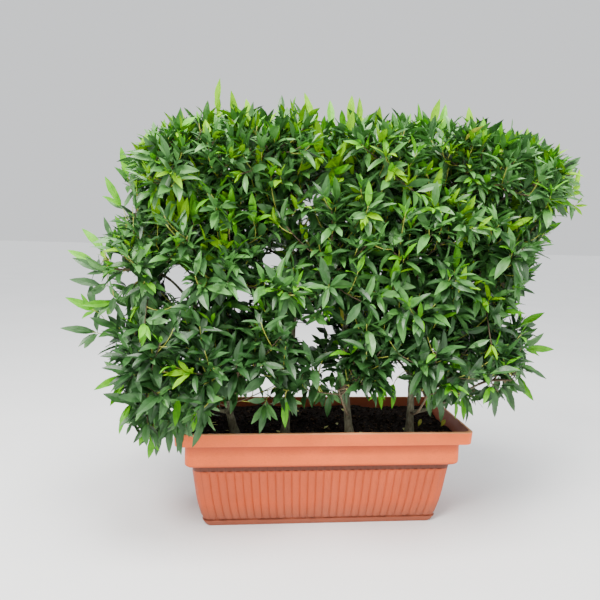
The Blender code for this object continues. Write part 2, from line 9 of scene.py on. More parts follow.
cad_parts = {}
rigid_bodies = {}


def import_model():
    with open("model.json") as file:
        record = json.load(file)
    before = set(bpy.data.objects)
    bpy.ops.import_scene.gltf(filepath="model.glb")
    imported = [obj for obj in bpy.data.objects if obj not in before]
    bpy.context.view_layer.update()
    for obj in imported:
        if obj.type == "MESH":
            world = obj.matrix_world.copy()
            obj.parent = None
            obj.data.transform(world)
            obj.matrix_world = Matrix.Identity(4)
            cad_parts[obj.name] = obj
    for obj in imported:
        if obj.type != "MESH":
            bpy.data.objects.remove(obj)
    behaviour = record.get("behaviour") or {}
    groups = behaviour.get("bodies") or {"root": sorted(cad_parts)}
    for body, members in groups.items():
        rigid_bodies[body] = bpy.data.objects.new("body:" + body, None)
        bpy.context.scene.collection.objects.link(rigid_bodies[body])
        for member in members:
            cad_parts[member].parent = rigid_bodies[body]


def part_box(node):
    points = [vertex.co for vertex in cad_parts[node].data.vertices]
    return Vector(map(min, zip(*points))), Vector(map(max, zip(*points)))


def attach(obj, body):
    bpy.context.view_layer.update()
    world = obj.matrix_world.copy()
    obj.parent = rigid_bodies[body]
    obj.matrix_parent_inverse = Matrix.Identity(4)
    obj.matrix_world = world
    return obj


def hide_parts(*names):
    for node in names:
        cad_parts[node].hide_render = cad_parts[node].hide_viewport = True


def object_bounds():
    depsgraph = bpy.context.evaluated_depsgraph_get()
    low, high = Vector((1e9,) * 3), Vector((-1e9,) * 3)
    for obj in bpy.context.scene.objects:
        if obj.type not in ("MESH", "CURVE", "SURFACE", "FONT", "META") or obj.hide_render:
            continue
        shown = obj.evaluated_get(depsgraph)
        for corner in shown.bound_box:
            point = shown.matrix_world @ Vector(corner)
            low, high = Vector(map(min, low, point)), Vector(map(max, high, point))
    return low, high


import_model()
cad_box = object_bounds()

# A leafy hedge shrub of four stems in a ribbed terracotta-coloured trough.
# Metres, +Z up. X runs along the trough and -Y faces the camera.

# Camera: where it stands, how it is turned, and its lens on a 36 mm wide square image
EYE = np.array((-0.249, -1.686, 0.803))
CAMERA_YAW = math.radians(-6.23)
CAMERA_PITCH = math.radians(-6.37)
CAMERA_ROLL = math.radians(-1.66)
CAMERA_LENS_MM = 36
CAMERA_SENSOR_MM = 36

# Trough: its size comes from the frame, and its parts stand in from the rim. The walls swell a little,
# and a power above 1 puts their widest place below their middle.
TROUGH_LOW, TROUGH_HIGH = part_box("planter")
RIM_LENGTH = TROUGH_HIGH.x - TROUGH_LOW.x
RIM_WIDTH = TROUGH_HIGH.y - TROUGH_LOW.y
TROUGH_HEIGHT = TROUGH_HIGH.z
CORNER_RADIUS = 0.020
CORNER_COLUMNS = 8
RIM_HEIGHT = 0.035
RIM_TOP_WIDTH = 0.009
RIM_EDGE = 0.003
RIM_LEAN = 0.002
COLLAR_INSET = 0.026
COLLAR_HEIGHT = 0.067
COLLAR_ROUND = 0.010
WALL_INSET = 0.044
WALL_TAPER_X = 0.036
WALL_TAPER_Y = 0.029
WALL_BULGE = 0.005
WALL_BULGE_POWER = 1.5
WALL_THICKNESS = 0.004
FLOOR_THICKNESS = 0.005
PLINTH_HEIGHT = 0.017
PLINTH_PROUD = 0.003
RIM_LOW = TROUGH_HEIGHT - RIM_HEIGHT
COLLAR_LOW = RIM_LOW - COLLAR_HEIGHT
ARC_STEPS = 5
INNER_ROWS = 4
SOFT_EDGE = 0.0012
TROUGH_SHARP = 38
# Its finishes: the outer one, and how much darker, as painted shade, it is in the grooves and, soiled too,
# inside
OUTER, GROOVE, INSIDE = range(3)
GROOVE_PAINTED_SHADE = 0.80
INSIDE_PAINTED_SHADE = 0.70
INSIDE_SOIL = 0.60
# Its tones: clean; dusty, with painted shade; dull, browner with dirt and painted shade; dark for painted
# shadow in the creases; pale for a painted highlight; and the soil that clings inside
TERRACOTTA_TONES = (
    (0.930, 0.148, 0.022),
    (0.560, 0.086, 0.020),
    (0.340, 0.086, 0.040),
    (0.140, 0.032, 0.015),
    (0.950, 0.420, 0.180),
)
SOILED_TONE = (0.120, 0.046, 0.028)

# Ribs: rounded bars with round ends
RIBS_LONG = 30
RIBS_SHORT = 11
RIB_COLUMNS = 8
RIB_WIDTH = 0.92
RIB_DEPTH = 0.0036
RIB_LOW = PLINTH_HEIGHT + 0.003
RIB_HIGH = COLLAR_LOW - 0.015
RIB_END_ROWS = 6
RIB_MIDDLE_ROWS = 7

# Soil: level round each stem, with low waves beyond, grain, and chips of bark on it
SOIL_TOP = 0.250
SOIL_GAP = 0.0004
SOIL_DEPTH = 0.060
SOIL_COLUMNS = 150
SOIL_ROWS = 60
SOIL_WAVES = ((0.0036, 23, 31, 1.0), (0.0022, 47, -29, 0.0))
SOIL_SLOPE = 0.035
SOIL_LEVEL_RADIUS = 0.060
SOIL_GRAIN = 0.0030
SOIL_GRAIN_SCALE = 90
SOIL_GRAIN_FRACTAL = (0.8, 2.1, 4)
SOIL_CORNER_PULL = 1.1
# Chips: how far out they lie, their lengths, of which a higher power makes more short, their widths and
# thicknesses as shares of that, their tilt, how far they stick out, and how their corners are broken
CHIPS = 3200
CHIP_SPREAD = (0.975, 0.95)
CHIP_LENGTHS = (0.003, 0.013)
CHIP_LENGTH_POWER = 2.5
CHIP_WIDTHS = (0.4, 0.8)
CHIP_THICKNESSES = (0.2, 0.5)
CHIP_TILT = 0.4
CHIP_RISE = 0.3
CHIP_CORNERS = (0.55, 1.0)
CHIP_TONES = (0, 0, 0, 1, 1, 2)
CHIP_SHARP = 20
# Fallen leaves: the x and y of two that show at the right and stand steeper, and how many more lie anywhere
FALLEN_PLACES = ((0.286, -0.042), (0.352, -0.050))
FALLEN_REST = 12
FALLEN_SPREAD = (0.9, 0.8)
FALLEN_LENGTHS = (0.018, 0.034)
FALLEN_WIDTH = 0.32
FALLEN_CURL = 0.4
FALLEN_FOLD = 0.2
FALLEN_RISE = 0.004
FALLEN_SLOPES = (0.1, 0.7)

# Stems: each foot's x, and how far its middle and its top lean along X
STEM_Y = -0.080
STEM_BENDS = (
    (-0.243, -0.030, -0.055),
    (-0.105, 0.002, 0.028),
    (0.075, -0.018, -0.010),
    (0.248, 0.010, -0.034),
)
STEM_TOP = 0.900
STEM_SWAY = 0.003
STEM_SWAY_TURN = 7
STEM_FLARE_RADIUS = 0.0145
STEM_RADIUS = 0.0098
STEM_TIP_RADIUS = 0.0040
STEM_FLARE_HEIGHT = 0.030
STEM_STEPS = 10
STEM_STEP_GROWTH = 1.35
STEM_FINE_STEPS = 120
STEM_SIDES = 24
# Bark: its relief, how close its streaks lie across and along a limb and how they drift, and its knots
BARK_RELIEF = 0.09
STREAKS_ACROSS = 2.2
STREAKS_ALONG = 24
STREAK_DRIFT = 9
KNOTS_ALONG = 55
KNOTS_AROUND = 0.8
KNOT_SHARE = 0.8

# Boughs: each rises from a stem's side and ends just inside a cell
BOUGH_RADIUS = 0.0052
BOUGH_TIP_RADIUS = 0.0030
BOUGH_FLARE = 0.45
BOUGH_FLARE_FALL = 14
BOUGH_FINE_STEPS = 30
BOUGH_SIDES = 14
BOUGH_SLOPE = 0.55
BOUGH_LOWEST = 0.310
BOUGH_SPACING = 0.020
BOUGH_ENTRY = 0.020
BOUGH_AIM_DROP = 0.050
BOUGH_LEAD = 0.30
BOUGH_BEND = 0.35
BOUGH_UPTURN = 0.25
SEAT_SIDEWAYS = 0.30
JOINT_GAP = 0.0003

# Crown: the outline of its closed foliage from the front, as x and z on the plane of the stems
OUTLINE = (
    (-0.535, 1.000), (-0.505, 1.045), (-0.420, 1.095), (-0.360, 1.115), (-0.290, 1.132), (-0.200, 1.120),
    (-0.100, 1.132), (0.020, 1.118), (0.140, 1.130), (0.250, 1.132), (0.400, 1.125), (0.540, 1.098),
    (0.635, 1.050), (0.700, 0.990), (0.685, 0.925), (0.635, 0.850), (0.590, 0.720), (0.545, 0.630),
    (0.590, 0.540), (0.580, 0.440), (0.530, 0.350), (0.440, 0.285), (0.370, 0.335), (0.300, 0.350),
    (0.020, 0.360), (-0.100, 0.255), (-0.450, 0.190), (-0.540, 0.260), (-0.560, 0.400), (-0.595, 0.510),
    (-0.560, 0.610), (-0.615, 0.740), (-0.530, 0.860),
)
CROWN_HALF_DEPTH = 0.275
CROWN_ROUND = 0.150
CROWN_EDGE_HALF_DEPTH = 0.010
CROWN_MIDDLE = Vector((0.0, -0.080, 0.660))
CROWN_REACH = Vector((0.70, 0.275, 0.50))
# Hollows in the crown's front and back: how much of its depth they take, and their waves along x and z
LUMP_DEPTH = 0.30
LUMP_WAVES = ((13.0, 5.0, 0.5), (-6.0, 15.0, 2.1))
# Gaps in the foliage, on the same plane: x, z, half width and half height. They open towards EYE.
GAPS = (
    (0.220, 0.400, 0.020, 0.043),
    (-0.033, 0.529, 0.045, 0.026),
    (-0.408, 0.664, 0.021, 0.034),
    (0.036, 0.392, 0.018, 0.026),
    (-0.566, 0.588, 0.022, 0.028),
    (-0.154, 0.731, 0.019, 0.012),
    (-0.158, 0.389, 0.011, 0.012),
    (0.395, 0.306, 0.016, 0.016),
    (-0.523, 0.669, 0.015, 0.012),
    (-0.229, 0.630, 0.010, 0.012),
    (0.502, 0.399, 0.011, 0.012),
    (-0.558, 0.725, 0.011, 0.010),
    (-0.538, 0.324, 0.009, 0.010),
    (0.446, 0.387, 0.008, 0.010),
    (0.518, 0.569, 0.009, 0.007),
    (0.595, 0.504, 0.008, 0.009),
    (-0.190, 0.272, 0.140, 0.050),
)
GAP_WAVE = 0.22
GAP_LOBES = 3
GAP_WAVE_TURN = 0.05

# Cells of the masses: each layer's name, its side of the stems, its columns, and its rows' heights and ends
LAYERS = (
    ("front", -1, 5, (
        ("low", 0.430, -0.620, 0.640),
        ("middle", 0.700, -0.630, 0.565),
        ("top", 0.965, -0.520, 0.700),
    )),
    ("back", 1, 4, (
        ("low", 0.480, -0.655, 0.645),
        ("middle", 0.760, -0.645, 0.600),
        ("top", 1.000, -0.515, 0.715),
    )),
)
LAYER_OFFSET = 0.130
CELL_MARGIN = 0.0015
CELL_OVERLAP = 0.045

# Twigs: the mass's own stem, its spine, with its foot sunk in what carries it, the twigs on the spine from
# some way up, and the side shoots on them
SPINE_SINK = JOINT_GAP * 4
SPINE_RADIUS = 0.0036
SPINE_TIP_RADIUS = 0.0022
SPINE_SIDES = 9
SPINE_STEPS = 16
SPINE_LEAD = 0.40
SPINE_REACH = 0.45
TWIGS = {"low": 11, "middle": 14, "top": 19}
TWIG_RADIUS = 0.0020
TWIG_TIP_RADIUS = 0.0011
TWIG_SIDES = 6
TWIG_LENGTHS = (0.040, 0.210)
TWIG_LEANS = (math.radians(25), math.radians(95))
TWIG_ROOM = 0.040
TWIG_LOWEST = 0.25
TWIG_STEPS = 7
SIDE_FIRST = 0.022
SIDE_SPACINGS = (0.022, 0.040)
SIDE_LEANS = (math.radians(35), math.radians(68))
SIDE_LENGTHS = (0.045, 0.125)
SIDE_SHORTEST = 0.026
SIDE_ROOM = 0.034
SIDE_SIDES = 5
SIDE_STEPS = 5
SIDE_RADIUS = 0.0013
SIDE_TIP_RADIUS = 0.0008
TWIG_RISE = 0.35
SHOOT_RISE = {"low": 0.7, "middle": 1.1, "top": 2.1}
SHOOT_WOBBLE = 0.05
LIGHT_SIDEWAYS = 0.6
GOLDEN_TURN = math.radians(137.5)

# Leaves: their size, the outline of a blade as half widths along it, which of its stations have to lie in
# the crown and how far inside, and how it curls, folds, waves and faces
LEAF_LENGTHS = (0.050, 0.080)
LEAF_SCALES = {"low": 1.0, "middle": 1.0, "top": 0.88}
LEAF_WIDTHS = (0.25, 0.33)
LEAF_STATIONS = (0.0, 0.07, 0.17, 0.29, 0.43, 0.57, 0.71, 0.85, 1.0)
LEAF_HALF_WIDTHS = (0.05, 0.08, 0.45, 0.86, 0.94, 1.0, 0.78, 0.48, 0.02)
LEAF_INNER_STATIONS = (0, 2, 4)
LEAF_CURLS = (0.15, 0.75)
LEAF_FOLDS = (0.12, 0.50)
LEAF_WAVE = 0.12
LEAF_WAVE_TURN = 11
LEAF_INSET = 0.012
LEAF_FACE_UP = 0.9
LEAF_FACE_WAVER = 0.35
LEAF_TURN_WAVER = 0.25

# Leaves on a shoot, counted back from its tip: close at the tip, where they are young, and spaced below.
# A young shoot is bare for a length at its foot, and an older twig for a share of its own.
TUFT = 7
TUFT_SPACING = 0.0038
LEAF_SPACING = 0.0115
SPACING_SPREAD = (0.8, 1.25)
LEAF_BARE = 0.014
OLD_BARE_SHARE = 0.45
MOST_LEAVES = 22
LEAN_TIP = math.radians(12)
LEAN_LOW = {"low": math.radians(74), "middle": math.radians(68), "top": math.radians(48)}
LEAN_SPREAD = math.radians(11)
LEAN_RANKS = 6
# The youngest leaf's length, width and curl as shares of a grown one's, and the rank of the first grown one
YOUNGEST_SHARE = 0.50
YOUNG_WIDTH = 0.5
YOUNG_CURL = 0.4
FULL_SIZE_RANK = 4

# Room that twigs keep to limbs and all keeps to the trough, and how many points are tested at once
LIMB_CLEARANCE = 0.002
TROUGH_CLEARANCE = 0.004
POINTS_AT_ONCE = 7000
# How far the fine tips may reach beyond the solids' box, on its low and on its high side
REACH_BEYOND = (Vector((0.003, 0.004, 0)), Vector((0.038, 0.004, 0.041)))
# How many ways are tried for each twig, and how finely and how far a line looks for room
TRIES = 24
WAY_STEP = 0.010
LONGEST_WAY = 0.45
LINE_SAMPLES = 60
SEED = 7

# Tones of the leaves, from the oldest to the youngest, then of the dying ones: the two greens that mottle
# each, its roughness and, where it differs, its gloss
LEAF_GLOSS = 0.48
TONES = {
    "leaf_deep": ((0.009, 0.043, 0.007), (0.020, 0.072, 0.014), 0.42),
    "leaf_dark": ((0.023, 0.084, 0.017), (0.046, 0.134, 0.034), 0.42),
    "leaf_mid": ((0.045, 0.156, 0.024), (0.080, 0.238, 0.046), 0.43),
    # A painted sheen: a grey-green tone for the sky's reflection on old leaves
    "leaf_pale_painted_sheen": ((0.068, 0.188, 0.046), (0.112, 0.272, 0.078), 0.42),
    "leaf_fresh": ((0.065, 0.290, 0.003), (0.120, 0.410, 0.007), 0.48, 0.24),
    "leaf_lime": ((0.128, 0.330, 0.001), (0.195, 0.440, 0.001), 0.55, 0.08),
    "leaf_yellow": ((0.300, 0.330, 0.020), (0.460, 0.460, 0.050), 0.55),
}
DEEP, DARK, MID, PALE_PAINTED_SHEEN, FRESH, LIME, YELLOW = range(len(TONES))
# How many leaves at a tip are lime or fresh, which share of those is of the brighter tone, and how rare
# yellow ones are
LIME_RANKS = 5
FRESH_RANKS = 4
BRIGHT_SHARE = 0.8
YELLOW_SHARE = 0.001
# For each row, the shares of shoots that end in lime or in fresh leaves, and of deep, dark, mid and pale
# leaves among the others near a tip and among the old
LIME_SHARES = {"low": 0.02, "middle": 0.11, "top": 0.34}
FRESH_SHARES = {"low": 0.20, "middle": 0.30, "top": 0.28}
# The shares paint shade and light: deep leaves crowd the low row as painted shade, and mid and pale ones, a
# painted sheen, the top
TUFT_SHARES = {
    "low": (0.44, 0.50, 0.06, 0),
    "middle": (0, 0.38, 0.54, 0.08),
    "top": (0, 0.20, 0.44, 0.36),
}
OLD_SHARES = {
    "low": (0.78, 0.20, 0.02, 0),
    "middle": (0.30, 0.46, 0.20, 0.04),
    "top": (0.10, 0.36, 0.34, 0.20),
}

# Shoots set one by one, which stand out of the crown, hang over the rim or show as tufts on the front: the
# x, y and z of the tip, and the scale, the age and the number of its leaves
STANDING_SHOOTS = (
    (-0.307, -0.10, 1.184, 1.15, "lime", 7), (-0.262, -0.12, 1.150, 1.05, "lime", 7),
    (-0.219, -0.12, 1.142, 1.05, "lime", 8), (-0.139, -0.12, 1.160, 1.05, "old", 6),
    (-0.112, -0.12, 1.140, 0.95, "lime", 7), (-0.063, -0.14, 1.160, 1.15, "lime", 6),
    (-0.010, -0.12, 1.148, 1.00, "fresh", 7), (0.040, -0.12, 1.158, 1.05, "lime", 6),
    (0.062, -0.12, 1.150, 0.95, "lime", 6), (0.114, -0.12, 1.138, 1.00, "lime", 8),
    (0.179, -0.12, 1.130, 0.95, "old", 8), (0.228, -0.12, 1.150, 1.05, "fresh", 6),
    (0.256, -0.14, 1.160, 1.10, "lime", 6), (0.288, -0.12, 1.150, 1.05, "fresh", 6),
    (0.371, -0.12, 1.152, 1.00, "lime", 6), (0.458, -0.08, 1.120, 0.85, "fresh", 7),
    (0.544, -0.08, 1.106, 0.85, "lime", 7), (0.622, -0.08, 1.066, 0.85, "lime", 8),
    (0.697, -0.08, 1.013, 0.90, "lime", 9), (0.712, -0.08, 0.972, 0.90, "lime", 9),
    (-0.058, -0.26, 1.082, 1.25, "lime", 7), (0.015, -0.26, 1.092, 1.30, "lime", 5),
    (-0.018, -0.27, 1.040, 1.25, "lime", 8), (-0.469, -0.22, 1.004, 1.00, "lime", 5),
    (-0.345, -0.28, 0.983, 0.85, "lime", 5), (-0.205, -0.28, 1.029, 0.95, "lime", 5),
    (-0.437, -0.30, 0.898, 1.15, "lime", 4), (-0.406, -0.30, 0.897, 1.10, "lime", 4),
    (-0.378, -0.30, 0.887, 1.00, "lime", 5), (-0.353, -0.30, 0.898, 1.05, "fresh", 5),
    (-0.324, -0.30, 0.837, 1.10, "lime", 7), (-0.281, -0.30, 0.843, 1.10, "lime", 6),
    (-0.260, -0.30, 0.909, 1.05, "fresh", 5), (-0.212, -0.30, 0.897, 0.95, "fresh", 5),
    (-0.033, -0.31, 0.789, 1.00, "fresh", 7), (0.066, -0.31, 0.842, 0.95, "lime", 6),
    (0.129, -0.31, 0.758, 0.95, "fresh", 6), (0.153, -0.29, 0.975, 0.90, "lime", 5),
    (0.218, -0.29, 0.969, 1.00, "lime", 5), (0.284, -0.31, 0.802, 1.05, "fresh", 7),
    (0.295, -0.29, 0.907, 1.00, "lime", 5), (0.451, -0.20, 1.072, 0.85, "lime", 5),
    (0.640, -0.12, 0.998, 0.90, "lime", 6), (-0.451, -0.05, 1.085, 0.90, "fresh", 9),
    (-0.400, -0.08, 1.105, 0.90, "lime", 8), (-0.542, -0.08, 1.005, 0.95, "fresh", 8),
    (-0.580, -0.12, 0.924, 1.00, "fresh", 5), (-0.568, -0.10, 0.826, 1.00, "fresh", 6),
    (-0.605, -0.10, 0.815, 0.95, "old", 5), (-0.641, -0.12, 0.800, 1.05, "fresh", 6),
    (-0.661, -0.12, 0.757, 1.05, "fresh", 6), (-0.640, -0.14, 0.735, 1.00, "old", 8),
    (-0.660, -0.10, 0.696, 1.10, "old", 6), (-0.691, -0.12, 0.622, 1.10, "fresh", 5),
    (-0.697, -0.12, 0.550, 1.15, "old", 6), (-0.630, -0.14, 0.640, 1.00, "fresh", 8),
    (-0.620, -0.12, 0.560, 1.00, "old", 8), (-0.614, -0.12, 0.401, 1.15, "fresh", 6),
    (-0.560, -0.16, 0.352, 1.00, "fresh", 7), (-0.533, -0.20, 0.292, 1.00, "fresh", 8),
    (-0.480, -0.22, 0.262, 1.00, "fresh", 8), (-0.462, -0.24, 0.290, 1.00, "old", 9),
    (-0.440, -0.24, 0.325, 0.95, "old", 11), (-0.430, -0.25, 0.300, 0.95, "old", 9),
    (-0.400, -0.25, 0.335, 0.95, "fresh", 11), (-0.385, -0.25, 0.295, 0.95, "old", 9),
    (-0.360, -0.24, 0.350, 0.95, "old", 11), (-0.345, -0.24, 0.315, 0.90, "old", 8),
    (-0.320, -0.22, 0.352, 0.90, "fresh", 9), (-0.353, -0.24, 0.318, 0.95, "fresh", 10),
    (-0.330, -0.24, 0.330, 0.95, "old", 10), (-0.366, -0.25, 0.290, 0.95, "old", 9),
    (-0.335, -0.25, 0.276, 0.95, "old", 9), (-0.388, -0.25, 0.268, 0.95, "old", 8),
    (-0.463, -0.22, 0.236, 0.95, "fresh", 8), (-0.445, -0.23, 0.250, 0.95, "old", 9),
    (-0.420, -0.24, 0.253, 0.95, "old", 9), (-0.397, -0.25, 0.262, 0.95, "old", 9),
    (-0.176, -0.24, 0.300, 0.95, "old", 7), (-0.122, -0.24, 0.318, 0.95, "fresh", 7),
    (-0.251, -0.22, 0.350, 0.90, "old", 8), (-0.015, -0.20, 0.475, 0.95, "old", 12),
    (0.030, -0.12, 0.460, 0.95, "fresh", 12), (-0.060, -0.14, 0.440, 0.95, "old", 12),
    (0.000, -0.02, 0.470, 0.95, "old", 12), (-0.065, -0.14, 0.350, 0.95, "old", 9),
    (-0.040, -0.13, 0.332, 0.95, "old", 9), (-0.012, -0.12, 0.318, 0.95, "old", 10),
    (0.013, -0.13, 0.303, 0.95, "old", 9), (0.040, -0.13, 0.348, 0.90, "old", 8),
    (0.052, -0.13, 0.330, 0.90, "old", 8), (0.072, -0.12, 0.350, 0.90, "old", 8),
    (0.092, -0.12, 0.374, 0.90, "old", 8), (0.154, -0.13, 0.322, 0.85, "fresh", 5),
    (0.200, -0.13, 0.326, 0.85, "fresh", 5), (0.297, -0.14, 0.325, 0.90, "fresh", 6),
    (0.325, -0.15, 0.322, 0.90, "old", 7), (0.350, -0.14, 0.330, 0.95, "old", 7),
    (0.300, -0.14, 0.316, 0.95, "old", 9), (0.290, -0.14, 0.352, 0.95, "old", 9),
    (0.270, -0.13, 0.338, 0.90, "old", 9), (0.262, -0.12, 0.358, 0.90, "old", 9),
    (0.320, -0.13, 0.366, 0.95, "old", 10), (0.335, -0.15, 0.300, 0.95, "old", 8),
    (0.378, -0.15, 0.300, 0.95, "fresh", 6), (0.408, -0.12, 0.356, 1.00, "old", 8),
    (0.411, -0.12, 0.292, 1.00, "fresh", 5), (0.500, -0.12, 0.300, 1.00, "old", 6),
    (0.550, -0.10, 0.325, 1.05, "old", 6), (0.590, -0.10, 0.345, 1.00, "fresh", 4),
    (0.585, -0.10, 0.392, 1.00, "old", 6), (0.640, -0.10, 0.440, 0.95, "old", 5),
    (0.655, -0.10, 0.503, 1.00, "fresh", 6), (0.627, -0.10, 0.585, 1.00, "fresh", 7),
    (0.600, -0.12, 0.540, 0.95, "old", 8), (0.596, -0.08, 0.741, 0.95, "old", 8),
    (0.640, -0.08, 0.873, 0.90, "fresh", 7),
)

# Their tips turn up above one height and in front of one y, and hang below another height
TOP_HEIGHT = 0.950
UPRIGHT_FRONT = -0.275
HANG_HEIGHT = 0.360
UPRIGHT_RISE = 2.5
SIDEWAYS_RISE = 0.5
HANG_RISE = -0.6
# Each starts at one of these shares of a twig's length, at least some way behind its tip, and curves
STANDING_STARTS = (0.3, 0.6, 0.9)
STANDING_SHORTEST = 0.05
STANDING_LEAD = 0.25
STANDING_BEND = 0.35
STANDING_BARE_SHARE = 0.25
# Its leaves face the front. The last one, the spike, goes straight on from the end of the shoot.
STANDING_FACE = Vector((0, -1, 0.4)).normalized()
STANDING_FACING = 1.5
SPIKE_BEYOND = 0.95
SPIKE_CURL = 0.2
SPIKE_FOLD = 0.3
SPIKE_WAVER = 0.5
SPIKE_TONES = {"lime": LIME, "fresh": FRESH, "old": DARK}

# Studio: the surround's strength near the horizon and overhead, and the height where it starts to grow
SKY_LOW = 1.0
SKY_HIGH = 2.1
SKY_START = 0.38
SKY_COLOUR = (0.96, 0.98, 1.0, 1)
FLOOR_REACH = 30
FLOOR_TONES = ((0.3, (0.76, 0.76, 0.76)), (0.7, (0.79, 0.79, 0.79)))
# Soft square lights: each one's name, place, size, power and colour, and where they all point
LIGHTS = (
    ("key", (-1.4, -2.2, 3.2), 1.2, 205, (1.0, 0.98, 0.93)),
    ("fill", (2.4, -2.0, 1.6), 2.0, 10, (0.95, 0.98, 1.0)),
    ("top", (0.0, -1.1, 3.3), 1.2, 150, (1.0, 1.0, 0.97)),
)
LIGHT_AIM = Vector((0, -0.05, 0.6))

UP = Vector((0, 0, 1))
FRONT = Vector((0, -1, 0))
CIRCLE = 2 * math.pi


def link(obj):
    bpy.context.scene.collection.objects.link(obj)
    return obj


def mesh_object(name, points, faces, materials, face_materials=None, sharp=None):
    """A mesh object, smooth but for edges sharper than an angle in degrees."""
    mesh = bpy.data.meshes.new(name)
    mesh.from_pydata(points, [], faces)
    for material in materials:
        mesh.materials.append(material)
    if face_materials is not None:
        mesh.polygons.foreach_set("material_index", np.array(face_materials, np.int32))
    mesh.shade_smooth()
    if sharp:
        mesh.set_sharp_from_angle(angle=math.radians(sharp))
    mesh.update()
    return link(bpy.data.objects.new(name, mesh))


def dress(obj, slot, *nodes):
    """The piece rides on the part's one body and stands for CAD nodes, which it hides; the slot is not used.
    """
    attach(obj, "root")
    if nodes:
        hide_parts(*nodes)
    return obj


class Surface:
    """A material whose node graph is built step by step."""

    def __init__(self, name, roughness=0.5, specular=0.5):
        self.material = bpy.data.materials.new(name)
        self.material.use_nodes = True
        self.nodes = self.material.node_tree.nodes
        self.links = self.material.node_tree.links
        self.shader = self.nodes["Principled BSDF"]
        self.shader.inputs["Roughness"].default_value = roughness
        self.shader.inputs["Specular IOR Level"].default_value = specular
        self.place = self.nodes.new("ShaderNodeTexCoord").outputs["Object"]

    def stretched(self, scale):
        mapping = self.nodes.new("ShaderNodeMapping")
        mapping.inputs["Scale"].default_value = scale
        self.links.new(self.place, mapping.inputs["Vector"])
        return mapping.outputs["Vector"]

    def noise(self, scale, detail=4.0, place=None):
        """Noise of a scale, so many waves to the metre, and a detail."""
        node = self.nodes.new("ShaderNodeTexNoise")
        node.inputs["Scale"].default_value = scale
        node.inputs["Detail"].default_value = detail
        self.links.new(place or self.place, node.inputs["Vector"])
        return node.outputs["Fac"]

    def ramp(self, value, stops):
        """Colours along a value: each stop has its place and its colour."""
        node = self.nodes.new("ShaderNodeValToRGB")
        elements = node.color_ramp.elements
        while len(elements) < len(stops):
            elements.new(0.5)
        for element, (place, colour) in zip(elements, stops):
            element.position = place
            element.color = (*colour, 1)
        self.links.new(value, node.inputs["Fac"])
        return node.outputs["Color"]

    def span(self, value, low, high, to_low=0.0, to_high=1.0):
        """A value that runs from low to high, drawn out to run between two others."""
        node = self.nodes.new("ShaderNodeMapRange")
        node.inputs["From Min"].default_value = low
        node.inputs["From Max"].default_value = high
        node.inputs["To Min"].default_value = to_low
        node.inputs["To Max"].default_value = to_high
        self.links.new(value, node.inputs["Value"])
        return node.outputs["Result"]

    def mix(self, share, first, second, blend="MIX"):
        node = self.nodes.new("ShaderNodeMix")
        node.data_type = "RGBA"
        node.blend_type = blend
        for socket, value in (("Factor_Float", share), ("A_Color", first), ("B_Color", second)):
            target = next(each for each in node.inputs if each.identifier == socket)
            if isinstance(value, bpy.types.NodeSocket):
                self.links.new(value, target)
            else:
                target.default_value = value
        return next(each for each in node.outputs if each.identifier == "Result_Color")

    def height(self):
        node = self.nodes.new("ShaderNodeSeparateXYZ")
        self.links.new(self.place, node.inputs["Vector"])
        return node.outputs["Z"]

    def colour(self, socket):
        self.links.new(socket, self.shader.inputs["Base Color"])

    def roughness(self, socket):
        self.links.new(socket, self.shader.inputs["Roughness"])

    def bump(self, socket, strength, distance):
        node = self.nodes.new("ShaderNodeBump")
        node.inputs["Strength"].default_value = strength
        node.inputs["Distance"].default_value = distance
        self.links.new(socket, node.inputs["Height"])
        self.links.new(node.outputs["Normal"], self.shader.inputs["Normal"])


